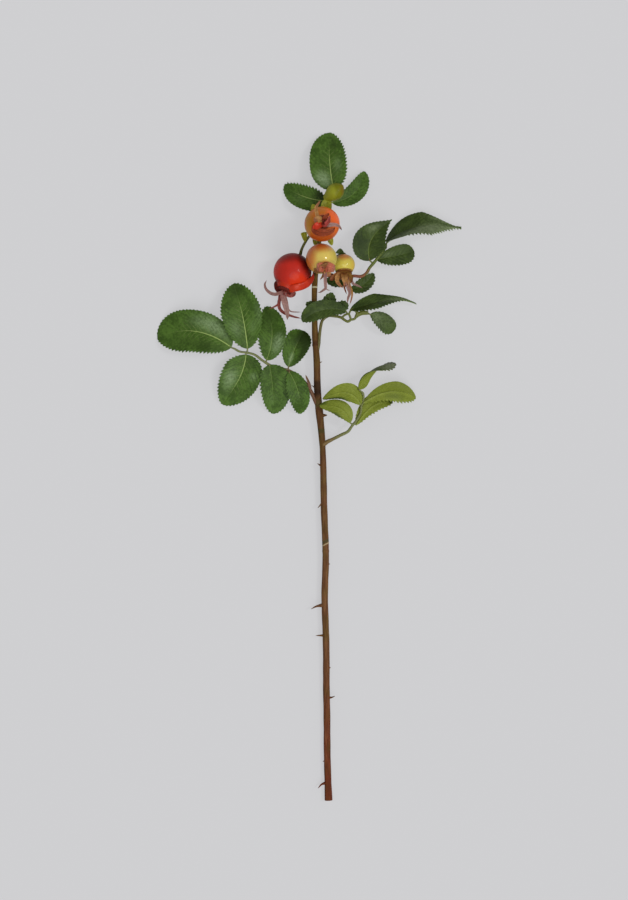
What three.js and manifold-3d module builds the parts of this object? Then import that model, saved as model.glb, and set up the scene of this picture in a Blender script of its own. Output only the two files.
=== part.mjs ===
// A rose hip sprig, cut from the bush and laid on a table: a prickly woody stem, five compound leaves
// of three to seven leaflets, and a cluster of five hips from green to ripe, with their sepals.
//
// Millimetres. +X runs across the sprig, +Y along it from the cut end to the topmost leaf, and +Z up
// from the table at z = 0. The origin is the middle of the sprig's footprint.
import * as THREE from "three";
import { mergeVertices } from "three/addons/utils/BufferGeometryUtils.js";
import Module from "manifold-3d";

const wasm = await Module();
wasm.setup();

// --------------------------------------------------------------------------------------------------
// Driving dimensions
// --------------------------------------------------------------------------------------------------
const GAP = 0.3; // between pieces that touch on the real sprig
const UP = new THREE.Vector3(0, 0, 1);

const LEAF = {
  thickness: 0.6,
  endHalfWidth: 0.5, // where the blade narrows to its little stalk
  steps: 9,
  columns: 4,
};
const SEPAL = { thickness: 0.9, steps: 5 };
const SIDES = { stem: 8, stalk: 6, pedicel: 6, prickle: 4 };
const HIP = { segments: 16, rings: 8, shoulder: 0.14 }; // shoulder: how far the collar's foot spreads
const CALYX_HEIGHT = 1.4;
const ROUNDED_END = 0.6; // how a blade narrows: 0.5 is a round end, above 1 a drawn-out point

// Main stem: the centre line from the cut end up, and the radius at shares of its length.
const STEM_PATH = [
  [14.5, -252, 2.9], [13.7, -228, 2.7], [13.1, -175, 3], [12.6, -131, 3.5], [11.5, -100, 4],
  [12.3, -70, 4.5], [11, -25, 5], [10.2, 9, 6], [9, 27, 6.5], [7, 48, 7.5], [6, 61, 8], [5.6, 80, 8.5],
  [4.3, 99, 9], [3.7, 125, 9.5], [4.4, 144, 10], [6.5, 163, 10.5], [9, 183, 11], [9, 191, 11],
];
const STEM_RADII = [
  [0, 2.9], [0.03, 2.6], [0.3, 2.5], [0.55, 2.45], [0.6, 2.25], [0.66, 2.8], [0.7, 2.6], [0.74, 2.5],
  [0.84, 2.1], [0.9, 2.1], [0.96, 1.9], [1, 2.3],
];
const STEM_STEPS = 34;

// Prickles: the point on the stem's axis, the tip, the radius at the foot, and how far each hooks.
const PRICKLES = [
  { foot: [14, -238, 2.8], tip: [6.5, -242, 4.5], radius: 1.1, hook: 1.4 },
  { foot: [13.6, -221, 2.7], tip: [10.2, -222, 3.2], radius: 1.2, hook: 0 },
  { foot: [13.1, -174, 3], tip: [19.3, -172.5, 5], radius: 1, hook: -0.5 },
  { foot: [12.8, -152, 3.2], tip: [16, -151, 4.5], radius: 1.6, hook: 0 },
  { foot: [12.6, -127, 3.5], tip: [4.8, -127, 5], radius: 1, hook: 0 },
  { foot: [11.6, -104, 4], tip: [1.2, -107, 6], radius: 1.2, hook: 0.8 },
  { foot: [12.2, -74, 4.5], tip: [15.6, -73, 5.5], radius: 1.1, hook: 0 },
  { foot: [11.2, -25, 5.2], tip: [6.3, -31, 6.5], radius: 0.9, hook: -0.3 },
  { foot: [10.2, 0, 6], tip: [6, 2.5, 7], radius: 1, hook: 0 },
  { foot: [8.2, 38.5, 7], tip: [13.6, 38.8, 7.8], radius: 1.7, hook: 0 },
  { foot: [6, 56, 8], tip: [1.6, 61, 11], radius: 0.9, hook: 1 },
  { foot: [5.6, 77, 8.4], tip: [9.6, 79, 9], radius: 0.8, hook: 0 },
];

// Leaf stalks: each runs from the stem through the nodes where its leaflets sit.
const STALKS = {
  left: {
    path: [
      [6, 47, 7.5], [2.5, 54, 8], [-0.5, 59.5, 9], [-7.5, 67.5, 8.5], [-16, 72.5, 8.5], [-23.5, 74, 9],
      [-30, 76.5, 9.5], [-35.5, 80, 10], [-41, 84, 10], [-46.5, 85.5, 10], [-52.5, 86.5, 10],
      [-56, 88.5, 10],
    ],
    radii: [1.9, 0.8],
    steps: 24,
    stipule: { path: [[0.8, 56.5, 9.2], [0.2, 61, 10.3], [-2.8, 69, 11]], width: 2.2 },
  },
  low_right: {
    path: [
      [9.5, 16, 6.2], [13, 18.5, 6.8], [18, 21, 8], [24, 24, 10], [29, 26.5, 11], [32, 30.5, 11.5],
      [35.5, 35, 12], [38.5, 40.5, 12.5], [39, 45.5, 13], [40.5, 50, 13.5], [40.5, 55, 14],
    ],
    radii: [2, 0.7],
    steps: 18,
  },
  mid_right: {
    path: [
      [5.5, 85, 8.6], [7, 92, 9], [8, 102, 9.5], [10, 110, 9.7], [14, 113, 9.8], [20, 112.8, 10],
      [24, 111.8, 10.4], [26.5, 110, 10.9], [28.9, 108.9, 11], [31.2, 110.3, 11], [33.6, 110.8, 11],
      [35.4, 112.6, 11], [39, 114.4, 10.9], [44, 115, 10],
    ],
    radii: [1.5, 0.9],
    steps: 28,
    branches: [
      {
        path: [[24.4, 111.8, 10.6], [26.7, 113.8, 11.3], [29.4, 114.4, 12], [31.2, 110.4, 11]],
        radius: 0.8,
      },
      { path: [[29.6, 114.3, 12], [31, 117, 12.4], [33.6, 118.4, 12.6]], radius: 0.7 },
      { path: [[35, 112.2, 11], [36, 115.2, 11.8], [34.2, 118.2, 12.6]], radius: 1.3 },
      { path: [[35.8, 113.6, 11], [39.5, 115.8, 11], [44, 115.4, 10.2]], radius: 1.4 },
    ],
  },
  high_right: {
    path: [
      [4.6, 146.5, 10], [9.5, 146.8, 8.5], [14, 145.6, 6.8], [20, 143, 5.4], [27, 141.6, 5.2],
      [33, 143.3, 7], [39, 143, 8], [43, 145.5, 9], [45, 149, 10], [47.5, 152, 10.5], [50, 155, 11],
      [54.5, 161, 11.5], [57.5, 165, 12],
    ],
    radii: [1.4, 1.1],
    steps: 20,
  },
  top: {
    path: [
      [9, 190, 11], [10.5, 194.5, 12], [13, 199, 12.5], [15.5, 203, 12.5], [17, 205.5, 12.5],
    ],
    radii: [1.6, 0.9],
    steps: 10,
  },
};

// Leaflets: the blade's base and tip and its greatest width, then how far it rolls about its own
// length, how far its midrib bows up and sweeps sideways, and the angle at which its halves fold up.
// `widest` is where along the length the blade is widest, `full` how blunt its base and tip are,
// `point` how drawn-out its tip is, and `lean` how much more of the width lies right of the midrib.
// A twist rolls the tip more than the base, a skew moves the sweep towards the tip, and a roll near
// 180 shows the pale underside.
const LEAFLETS = {
  left_end: {
    base: [-58.5, 89.5, 10], tip: [-114.5, 97, 1.2], width: 32, roll: -5, bow: 5, sweep: 8, fold: 6,
    widest: 0.56, full: [2.7, 2.8],
  },
  left_upper_3: {
    base: [-46.3, 88.5, 11], tip: [-57, 137.5, 7.5], width: 30.5, roll: -4, bow: 2.5, sweep: 1.5,
    fold: 8, widest: 0.54, full: [2, 1.8], lean: -0.05,
  },
  left_upper_2: {
    base: [-32, 80, 9.5], tip: [-32.8, 120.5, 2], width: 21.5, bow: 2, sweep: 4.5, fold: 8,
    full: [2.2, 1.8],
  },
  left_upper_1: {
    base: [-15.6, 75, 9], tip: [-4, 102.3, 1], width: 19.6, bow: 2, sweep: -1, fold: 8, widest: 0.62,
    full: [2, 2.9], lean: 0,
  },
  left_lower_3: {
    base: [-47.5, 84.3, 9.6], tip: [-65.6, 47.2, 1], width: 30, roll: 5, bow: 2, sweep: -3, fold: 8,
    skew: -0.4, widest: 0.43, full: [3.2, 1.65], lean: -0.03,
  },
  left_lower_2: {
    base: [-29.8, 76.6, 10.6], tip: [-27.3, 40, 0.8], width: 23, roll: 3, bow: 1.5, sweep: -1, fold: 8,
    widest: 0.4, full: [3.2, 2.1], lean: -0.2,
  },
  left_lower_1: {
    base: [-15.2, 71.4, 11.4], tip: [-7.2, 40, 0.6], width: 16.5, bow: 4, sweep: -3, fold: 8,
    widest: 0.48, full: [2.3, 1.8],
  },

  top_end: {
    base: [18.3, 206.7, 12.5], tip: [15.3, 252, 0.8], width: 28, bow: 2, sweep: -1.5, fold: 8,
    widest: 0.44, full: [2.4, 2.2], lean: -0.1,
  },
  top_left: {
    base: [13, 199, 12], tip: [-18.7, 212.3, 0.8], width: 18.3, bow: 2, sweep: -3, fold: 8,
    widest: 0.41, full: [2.5, 2], lean: -0.07,
  },
  top_right: {
    base: [17.3, 198, 11.3], tip: [41.3, 222.5, 1.5], width: 14.4, roll: -2, bow: 1.5, sweep: 6.5,
    fold: 8, full: [2.1, 2.4],
  },

  high_end: {
    base: [57.9, 168.2, 9.5], tip: [114.4, 180, 1.5], width: 25, roll: 37, twist: -60, bow: 8,
    sweep: -2.6, fold: 13, widest: 0.53, full: [2.6, 1.05], point: 1.6, lean: 0.06,
  },
  high_upper: {
    base: [45.4, 154.3, 13], tip: [61.9, 185.3, 12.5], width: 26, bow: 2, sweep: -6.2, fold: 8,
    skew: -0.36, widest: 0.35, full: [2.6, 1.5], point: 1.3,
  },
  high_lower: {
    base: [50.5, 155.5, 9.3], tip: [79, 162, 4], width: 15.6, bow: 2, sweep: 0.5, fold: 8,
    widest: 0.6, full: [1.5, 3],
  },
  high_base_right: {
    base: [31.2, 133.5, 3], tip: [48.2, 145.7, 3.2], width: 10.8, bow: 1.5, sweep: 2.8, fold: 8,
    widest: 0.47, full: [2, 2.1],
  },
  high_base_left: {
    base: [29, 139.2, 4], tip: [12.5, 140.5, 3], width: 9.5, bow: 0.5, fold: 8, widest: 0.5,
    full: [2.2, 2],
  },

  mid_left: {
    base: [27.8, 116, 14.5], tip: [-5.3, 108.8, 14.8], width: 14, roll: -2, bow: 2, sweep: 4.8,
    fold: 8, widest: 0.58, full: [2.1, 2.5], lean: 0.1,
  },
  mid_left_back: {
    base: [8, 118, 12.4], tip: [-2.5, 122.5, 12.4], width: 7, bow: 0.3, fold: 3, full: [2, 2.2],
  },
  mid_up: {
    base: [14, 116, 12.6], tip: [16.8, 130.5, 12.6], width: 11, bow: 0.2, fold: 2, full: [2, 1.5],
    lean: -0.1,
  },
  mid_up_right: {
    base: [18.5, 118, 12], tip: [29.2, 121.8, 12], width: 8.5, bow: 0.3, fold: 2, full: [2, 3],
  },
  mid_end: {
    base: [30.8, 117.8, 12.8], tip: [80.3, 122.6, 4], width: 16, roll: 44, twist: 28, bow: 7.8,
    sweep: 2, fold: 13, skew: -0.1, widest: 0.37, full: [1.45, 1.05], point: 1.25,
  },
  mid_right: {
    base: [45.7, 114.3, 10], tip: [62.4, 101, 2], width: 13, roll: -3, bow: 2, sweep: -2.3, fold: 8,
    widest: 0.55, full: [1.8, 3.4],
  },

  low_end: {
    base: [37, 57.9, 15.2], tip: [64.7, 77, 14.2], width: 11, roll: 98, twist: -145, bow: 6.3,
    sweep: 0.6, fold: -28, skew: -6.5, widest: 0.5, full: [4.5, 6],
  },
  low_upper_left: {
    base: [38.2, 46.5, 14.8], tip: [10, 50.8, 15], width: 14.6, roll: 162, bow: -4.5, sweep: -5.7,
    fold: -8, skew: -0.5, widest: 0.34, full: [2.6, 1.1], lean: -0.1,
  },
  low_upper_right: {
    base: [40.3, 47.5, 13.8], tip: [79.8, 51.8, 5], width: 17, roll: 195, bow: -7, sweep: 4.6,
    fold: 8, widest: 0.65, full: [1.1, 2.2], lean: 0.08,
  },
  low_lower_left: {
    base: [30.4, 33, 12.5], tip: [7.8, 45.7, 12.5], width: 12.8, roll: 165, bow: -3, sweep: -4.8,
    fold: -8, skew: -0.35, widest: 0.42, full: [2.1, 1.7],
  },
  low_lower_right: {
    base: [35.3, 31.5, 10.5], tip: [62.6, 48.5, 6], width: 13.5, roll: 188, bow: -2.5, sweep: 5,
    fold: -6, skew: 0.33, full: [1.1, 4], lean: 0.25,
  },
};

// Hips: the radius of the round part, the way the collar points, and the collar's radius and height as
// shares of that radius.
const HIPS = {
  red: {
    centre: [-12.5, 145.8, 14.2], radius: 14.2, axis: [-0.38, -0.88, 0.22], collar: [0.42, 1.04],
  },
  orange: { centre: [9.5, 179.5, 34], radius: 13, axis: [0.05, 0, 1], collar: [0.42, 0.97] },
  yellow: { centre: [9, 154.5, 27], radius: 11.4, axis: [0.2, -0.62, 0.75], collar: [0.45, 0.98] },
  small: { centre: [26, 151.5, 8.6], radius: 8.2, axis: [0.02, -0.96, 0.28], collar: [0.8, 0.6] },
};
const BUD = { foot: [12.5, 199.5, 20.3], head: [20.5, 205.5, 25], radius: 6.3 };

// Stalks of the hips, from the top of the stem to each hip's foot.
const PEDICELS = {
  red: {
    path: [[7, 177, 12.5], [1, 173.5, 14.8], [-3, 168, 15], [-5.8, 162.5, 13], [-6.6, 159.5, 11.8]],
    radius: 1,
  },
  orange: { path: [[9.3, 184, 13.8], [9, 183, 17], [9, 180.5, 20.4]], radius: 1.3 },
  yellow: { path: [[7, 168, 13.2], [7.5, 166, 15], [8.8, 163, 18]], radius: 1.1 },
  small: {
    path: [[8, 160.5, 9.8], [14, 158.5, 6], [19, 158, 2.6], [23.5, 160, 2.6], [25.7, 160, 5.4]],
    radius: 0.8,
  },
  bud: { path: [[9.5, 187.5, 14], [10, 192, 17], [12.3, 199, 19.8]], radius: 1.4 },
};

// Sepals: the way each one's middle runs after leaving its calyx, and its greatest width. One that hugs
// its hip lies against the hip's skin, the others lie face up. A lobe keeps its width to a round end.
const SEPALS = {
  red: [
    {
      path: [
        [-21.5, 129.8, 19.5], [-25.5, 128.8, 18], [-29.3, 130, 16.5], [-32.3, 133, 15],
        [-33.3, 136.5, 14], [-31.9, 139.6, 13.5],
      ],
      width: 2.6,
    },
    {
      path: [[-21.8, 131, 16.5], [-24, 133, 15], [-25, 136, 14], [-25.2, 139, 13.5]],
      width: 3.6, lobe: true,
    },
    { path: [[-14.5, 133, 21.5], [-10.3, 134, 23]], width: 2.6 },
    { path: [[-14, 129.3, 15], [-10, 129.8, 14.5]], width: 6, lobe: true },
    {
      path: [
        [-19.3, 128, 17], [-18.5, 124, 15.5], [-17.3, 119, 13.5], [-16.4, 114, 11.5],
        [-16.5, 110.5, 10],
      ],
      width: 4.8,
    },
    {
      path: [
        [-22, 128, 15], [-22.6, 123, 13], [-24, 121.2, 12], [-27, 119.6, 11], [-30.2, 118.4, 10.5],
      ],
      width: 2,
    },
    {
      path: [
        [-22, 126, 12], [-22.8, 121.6, 9], [-22, 118.4, 8], [-19, 115.6, 7.3], [-12.5, 113, 6.8],
        [-5.7, 111.4, 6.5],
      ],
      width: 2.6,
    },
    {
      path: [[-17.5, 125, 11], [-16, 119, 9], [-14, 116.7, 8.5], [-9.7, 116.2, 8], [-5.7, 116.2, 7.8]],
      width: 1.3,
    },
    {
      path: [
        [-10, 133.2, 23.5], [-5.2, 134.6, 22.3], [-0.6, 137.4, 20], [2.4, 141, 17.8],
        [3.2, 144.5, 16.5],
      ],
      width: 6, hugs: true,
    },
  ],
  orange: [
    {
      path: [[6.3, 183, 50.5], [5.2, 187, 50], [5, 189.5, 49], [6, 192, 47.5], [8.3, 195.5, 46]],
      width: 2.8,
    },
    { path: [[11.5, 177, 52], [13.7, 179.5, 52.2], [15.3, 184, 51]], width: 3.2 },
    { path: [[12, 183, 51.5], [14.5, 185.3, 50]], width: 3.4 },
    { path: [[13.5, 177, 51.5], [17.5, 177.3, 51], [21.3, 176.7, 49], [23.7, 173.9, 46.5]], width: 3 },
    {
      path: [
        [4.5, 174, 48.5], [7.5, 172, 49.5], [12, 171.4, 50], [16.5, 172.8, 49.7], [18.8, 175.3, 49],
      ],
      width: 4.6,
    },
    { path: [[6, 176.5, 50.5], [2.8, 174.8, 49]], width: 5.5, lobe: true },
    { path: [[6.5, 181.3, 50.5], [3.4, 180.5, 49]], width: 5, lobe: true },
  ],
  yellow: [
    { path: [[8.5, 147.2, 38.4], [5.4, 146.8, 36.8]], width: 7, lobe: true },
    { path: [[14.5, 147.3, 38.4], [18.8, 145.8, 36]], width: 7, lobe: true },
    { path: [[7.5, 145.6, 36], [3.8, 145, 32]], width: 5, lobe: true },
    { path: [[13.4, 144, 36.5], [14.3, 140.8, 33.5]], width: 5.2, lobe: true },
    {
      path: [
        [11.8, 143.5, 36.5], [11.8, 138.4, 34], [12, 134.6, 31.5], [12, 132.4, 29.5],
        [9.9, 130.7, 28.5], [7.9, 129.5, 28], [6.4, 129.4, 27.6],
      ],
      width: 2.6,
    },
    {
      path: [
        [11.9, 143.5, 36.3], [11.9, 138.4, 33.8], [12.1, 134.6, 31.3], [12.4, 132.4, 29.4],
        [13.9, 131.2, 28.5], [15.9, 131, 28],
      ],
      width: 1.4,
    },
    { path: [[11, 143.5, 36], [9.8, 140.6, 34], [8, 138.4, 33]], width: 2 },
  ],
  small: [
    { path: [[21.5, 143, 13], [20.8, 139.5, 13], [22.6, 136.3, 13.5], [25.4, 134, 14]], width: 3.6 },
    { path: [[22, 143.5, 12], [18.5, 142, 11.5], [15.3, 139.6, 11.5]], width: 5.5 },
    { path: [[26.4, 141, 15.6], [27, 136.4, 15.6], [26.4, 134.4, 15]], width: 5 },
    { path: [[26, 138, 14.5], [26.4, 133.6, 14.5], [28, 129, 14.5]], width: 1.8 },
    {
      path: [
        [29.5, 140, 15], [30, 136, 15.8], [31.3, 132.5, 16.6], [32, 129.5, 17.4], [31.5, 125.5, 18.4],
        [30.2, 121, 19],
      ],
      width: 2,
    },
    {
      path: [
        [28.3, 139, 15], [29, 134, 16], [30.2, 130, 17], [29, 126, 18], [28.3, 122, 18.5],
      ],
      width: 3,
    },
    { path: [[30.5, 142.5, 12.5], [31, 137.6, 12.5]], width: 4.4, lobe: true },
    { path: [[31.5, 139.5, 11.5], [33, 137.2, 11], [36, 136, 10.5], [40, 134, 10]], width: 2.2 },
  ],
};

// Bracts: small leafy scales where the hips' stalks branch.
const BRACTS = {
  top: {
    base: [11.8, 186.8, 21], tip: [13.3, 199, 22.8], width: 8.4, bow: 0.8, fold: 15, widest: 0.5,
    full: [2.4, 3.5],
  },
  top_left: { base: [6, 186.5, 16], tip: [2.4, 196, 18], width: 6, bow: 1, fold: 10, full: [2, 2] },
  stalk: {
    base: [-3, 167.8, 17.5], tip: [-4.3, 175.2, 18], width: 4.8, roll: -15, fold: 12, widest: 0.8,
    full: [1.3, 4],
  },
  low_left: {
    base: [5.5, 176, 16.8], tip: [4, 165.5, 17.8], width: 4.5, roll: 180, bow: -0.5, full: [2, 2],
  },
  low_right: {
    base: [14, 175, 14], tip: [17, 165.5, 16], width: 4.5, roll: 180, bow: -1, full: [2, 2],
  },
  small: {
    base: [23, 159.6, 9.6], tip: [23.2, 163.8, 10.2], width: 6.6, fold: 10, widest: 0.2,
    full: [2, 1.1],
  },
};

// --------------------------------------------------------------------------------------------------
// Materials
// --------------------------------------------------------------------------------------------------
const skin = (color, roughness) =>
  new THREE.MeshStandardMaterial({ color, roughness, metalness: 0 });
const MATERIALS = {
  bark: skin(0x6f4c2e, 0.75),
  stalk: skin(0x76733b, 0.6),
  leaf: skin(0x3f6a26, 0.45),
  leafUnderside: skin(0x7d8c3c, 0.6),
  bract: skin(0x7f8a2c, 0.5),
  sepal: skin(0x8a4a3c, 0.7),
  red: skin(0xb02a1c, 0.3),
  orange: skin(0xc86a1c, 0.3),
  yellow: skin(0xc9a24a, 0.3),
  small: skin(0xc4b255, 0.3),
  bud: skin(0x7b7d1d, 0.4),
};

// --------------------------------------------------------------------------------------------------
// Shaping
// --------------------------------------------------------------------------------------------------
const vector = ([x, y, z]) => new THREE.Vector3(x, y, z);
const curveThrough = (points) => new THREE.CatmullRomCurve3(points, false, "centripetal");

// Moves each vertex of a plain geometry to where place() puts it, and keeps only the position.
function reshape(geometry, place) {
  const position = geometry.getAttribute("position");
  const vertex = new THREE.Vector3();
  for (let i = 0; i < position.count; i++) {
    const moved = place(vertex.fromBufferAttribute(position, i));
    position.setXYZ(i, moved.x, moved.y, moved.z);
  }
  geometry.deleteAttribute("normal");
  geometry.deleteAttribute("uv");
  return mergeVertices(geometry);
}

// A value read from [share, value] pairs, straight between them.
function readAlong(pairs, share) {
  const after = pairs.findIndex(([at]) => at >= share);
  if (after <= 0) return pairs[0][1];
  const [[a, from], [b, to]] = [pairs[after - 1], pairs[after]];
  return THREE.MathUtils.lerp(from, to, (share - a) / (b - a));
}

// Half the blade's width at u, as a share of its greatest half width.
function bulge(u, { widest = 0.5, full: [fullBase, fullTip], point = ROUNDED_END }) {
  if (u < widest) return (1 - (1 - u / widest) ** fullBase) ** ROUNDED_END;
  return (1 - ((u - widest) / (1 - widest)) ** fullTip) ** point;
}

// A point on a blade's middle surface: u runs from base to tip, v from the left edge (-1) to the
// right (1).
function bladePoint(shape, u, v) {
  const { width, roll = 0, twist = 0, bow = 0, sweep = 0, skew = 0, fold = 0, lean = 0 } = shape;
  const [base, tip] = [vector(shape.base), vector(shape.tip)];
  const length = tip.clone().sub(base);
  const along = length.clone().normalize();
  const face = UP.clone().addScaledVector(along, -along.dot(UP)).normalize();
  face.applyAxisAngle(along, -THREE.MathUtils.degToRad(roll + twist * (u - 0.5)));
  const right = along.clone().cross(face);
  const arch = 4 * u * (1 - u);
  const slope = 4 * (1 - 2 * u);
  const skewed = 1 + skew * (2 * u - 1);
  const midrib = base
    .addScaledVector(length, u)
    .addScaledVector(face, bow * arch)
    .addScaledVector(right, sweep * arch * skewed);
  const tangent = length
    .addScaledVector(face, bow * slope)
    .addScaledVector(right, sweep * (slope * skewed + 2 * skew * arch))
    .normalize();
  const across = right.clone().addScaledVector(tangent, -tangent.dot(right)).normalize();
  const out = across.clone().cross(tangent);
  const half = Math.max(LEAF.endHalfWidth, (width / 2) * bulge(u, shape) * (1 + lean * v));
  const angle = THREE.MathUtils.degToRad(fold);
  return midrib
    .addScaledVector(across, v * half * Math.cos(angle))
    .addScaledVector(out, Math.abs(v) * half * Math.sin(angle));
}

// A leaf blade: a box with its length on u and its width on v, laid on the blade's middle surface.
function blade(shape, thickness = LEAF.thickness, steps = LEAF.steps, columns = LEAF.columns) {
  const nudge = 1e-3;
  return reshape(new THREE.BoxGeometry(2, 1, 1, columns, steps, 1), (p) => {
    const t = p.y + 0.5;
    const u = THREE.MathUtils.clamp(t - 0.09 * Math.sin(2 * Math.PI * t), 0, 1);
    const middle = bladePoint(shape, u, p.x);
    const inside = THREE.MathUtils.clamp(u, nudge, 1 - nudge);
    const step = (du, dv) => bladePoint(shape, inside + du, p.x + dv);
    const lengthwise = step(nudge, 0).sub(step(-nudge, 0));
    const crosswise = step(0, nudge).sub(step(0, -nudge));
    return middle.addScaledVector(crosswise.cross(lengthwise).normalize(), p.z * thickness);
  });
}

// A round stem along a curve, with a radius for each share of its length.
function tube(points, radiusAt, sides, steps) {
  const curve = curveThrough(points);
  const { normals, binormals } = curve.computeFrenetFrames(steps);
  return reshape(new THREE.CylinderGeometry(1, 1, 1, sides, steps), (p) => {
    const step = Math.round((p.y + 0.5) * steps);
    const radius = radiusAt(step / steps);
    return curve
      .getPointAt(step / steps)
      .addScaledVector(normals[step], p.x * radius)
      .addScaledVector(binormals[step], -p.z * radius);
  });
}

// A sepal: a trough along a curve, its open side turned the way that faceAt() gives. It tapers, or as
// a lobe keeps its width to a round end.
function ribbon(points, width, thickness, { faceAt = () => UP, lobe = false } = {}) {
  const steps = SEPAL.steps;
  const curve = curveThrough(points);
  return reshape(new THREE.BoxGeometry(1, 1, 1, 2, steps, 1), (p) => {
    const t = p.y + 0.5;
    const tangent = curve.getTangentAt(t);
    const side = tangent.clone().cross(faceAt(curve.getPointAt(t)));
    if (side.length() < 0.1) side.set(1, 0, 0);
    side.normalize();
    const out = side.clone().cross(tangent);
    const tapered = 0.25 + 0.75 * Math.sin(Math.PI * Math.min(1, 0.3 + 0.7 * t)) ** 0.8;
    const taper = lobe ? 1 - 0.6 * t ** 4 : tapered;
    const trough = (2 * Math.abs(p.x)) ** 2 * width * 0.12;
    return curve
      .getPointAt(t)
      .addScaledVector(side, p.x * width * taper)
      .addScaledVector(out, p.z * thickness + trough);
  });
}

// --------------------------------------------------------------------------------------------------
// Joining and cutting
// --------------------------------------------------------------------------------------------------
function solid(geometry) {
  const merged = mergeVertices(geometry, 1e-4);
  return new wasm.Manifold(
    new wasm.Mesh({
      numProp: 3,
      vertProperties: merged.getAttribute("position").array,
      triVerts: new Uint32Array(merged.index.array),
    }),
  );
}

function geometryOf(made) {
  const { vertProperties, triVerts, numProp } = made.getMesh();
  const points = new Float32Array((vertProperties.length / numProp) * 3);
  for (let i = 0; i < points.length / 3; i++)
    points.set(vertProperties.subarray(i * numProp, i * numProp + 3), i * 3);
  return new THREE.BufferGeometry()
    .setAttribute("position", new THREE.BufferAttribute(points, 3))
    .setIndex(new THREE.BufferAttribute(triVerts, 1));
}

const join = (geometries) => geometryOf(geometries.map(solid).reduce((all, next) => all.add(next)));

// What is left of a piece outside its neighbours. Slivers cut off from it are dropped.
function trim(geometry, neighbours) {
  const left = neighbours.map(solid).reduce((rest, next) => rest.subtract(next), solid(geometry));
  return geometryOf(left.decompose().reduce((a, b) => (a.volume() > b.volume() ? a : b)));
}

// --------------------------------------------------------------------------------------------------
// Pieces
// --------------------------------------------------------------------------------------------------
const sprig = new THREE.Group();

function add(name, geometry, material) {
  const mesh = new THREE.Mesh(geometry, material);
  mesh.name = name;
  sprig.add(mesh);
}

function stemTube(extra = 0) {
  const radiusAt = (t) => readAlong(STEM_RADII, t) + extra;
  return tube(STEM_PATH.map(vector), radiusAt, SIDES.stem, STEM_STEPS);
}

function prickle({ foot, tip, radius, hook }) {
  const [from, to] = [vector(foot), vector(tip)];
  const middle = from.clone().lerp(to, 0.6).add(new THREE.Vector3(0, hook, 0));
  const flare = [
    [0, radius * 1.5],
    [0.45, radius * 0.75],
    [1, 0.22],
  ];
  return tube([from, middle, to], (t) => readAlong(flare, t), SIDES.prickle, 3);
}

// A leaf stalk's main run, then the little stalks that branch from it, each as a tube of its own.
function stalkTubes({ path, radii: [foot, end], steps, branches = [] }, extra = 0) {
  const taper = [
    [0, foot],
    [0.16, THREE.MathUtils.lerp(foot, end, 0.55)],
    [1, end],
  ];
  const main = tube(path.map(vector), (t) => readAlong(taper, t) + extra, SIDES.stalk, steps);
  const little = branches.map((branch) =>
    tube(branch.path.map(vector), () => branch.radius + extra, SIDES.stalk, 5),
  );
  return [main, ...little];
}

function leafStalk(shape) {
  const pieces = stalkTubes(shape);
  if (shape.stipule) {
    const { path, width } = shape.stipule;
    pieces.push(ribbon(path.map(vector), width, SEPAL.thickness));
  }
  return trim(join(pieces), [stemTube(GAP)]);
}

// The hip's outline runs from its foot round to its collar, and across the collar's flat end.
function hipBody({ centre, radius, axis, collar: [neck, height] }, extra = 0) {
  const shoulder = Math.acos(neck + HIP.shoulder);
  const outline = [];
  for (let i = 0; i <= HIP.rings; i++) {
    const angle = THREE.MathUtils.lerp(-Math.PI / 2, shoulder, i / HIP.rings);
    outline.push(new THREE.Vector2(Math.cos(angle), Math.sin(angle)));
  }
  outline.push(new THREE.Vector2(neck + HIP.shoulder / 4, (Math.sin(shoulder) + height) / 2));
  outline.push(new THREE.Vector2(neck, height), new THREE.Vector2(0, height));
  outline[0].x = 0;
  for (const point of outline) point.multiplyScalar(radius + extra);
  const turned = new THREE.LatheGeometry(outline, HIP.segments);
  const turn = new THREE.Quaternion().setFromUnitVectors(
    new THREE.Vector3(0, 1, 0),
    vector(axis).normalize(),
  );
  return reshape(turned, (p) => p.applyQuaternion(turn).add(vector(centre)));
}

function calyx(hip, sepals) {
  const [axis, centre] = [vector(hip.axis).normalize(), vector(hip.centre)];
  const [neck, height] = hip.collar;
  const foot = centre.clone().addScaledVector(axis, (hip.radius + GAP) * height + 0.05);
  const top = foot.clone().addScaledVector(axis, CALYX_HEIGHT);
  const disc = tube([foot, top], () => hip.radius * neck * 0.92, 10, 1);
  const start = foot.clone().lerp(top, 0.5);
  const ribbons = sepals.map(({ path, width, hugs, lobe }) => {
    const faceAt = hugs ? (point) => point.clone().sub(centre).normalize().add(UP) : () => UP;
    return ribbon([start, ...path.map(vector)], width, SEPAL.thickness, { faceAt, lobe });
  });
  return trim(join([disc, ...ribbons]), [hipBody(hip, GAP)]);
}

// The green bud: a pear shape that widens from its stalk to a round head.
function budBody(extra = 0) {
  const [foot, head] = [vector(BUD.foot), vector(BUD.head)];
  const axis = head.clone().sub(foot).normalize();
  const end = head.clone().addScaledVector(axis, BUD.radius);
  const swell = (t) => {
    const share = Math.sin(Math.PI * Math.min(1, 0.12 + 0.88 * t ** 1.35)) ** 0.72;
    return BUD.radius * Math.max(0.06, share) + extra;
  };
  return tube([foot, head, end], swell, 12, 10);
}

add("main_stem", join([stemTube(), ...PRICKLES.map(prickle)]), MATERIALS.bark);
for (const [name, shape] of Object.entries(STALKS)) {
  add(`leaf_stalk_${name}`, leafStalk(shape), MATERIALS.stalk);
}

const stalkSpace = Object.values(STALKS).flatMap((shape) => stalkTubes(shape, GAP));
for (const [name, shape] of Object.entries(LEAFLETS)) {
  const material = Math.abs(shape.roll ?? 0) > 90 ? MATERIALS.leafUnderside : MATERIALS.leaf;
  add(`leaflet_${name}`, trim(blade(shape), stalkSpace), material);
}

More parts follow.
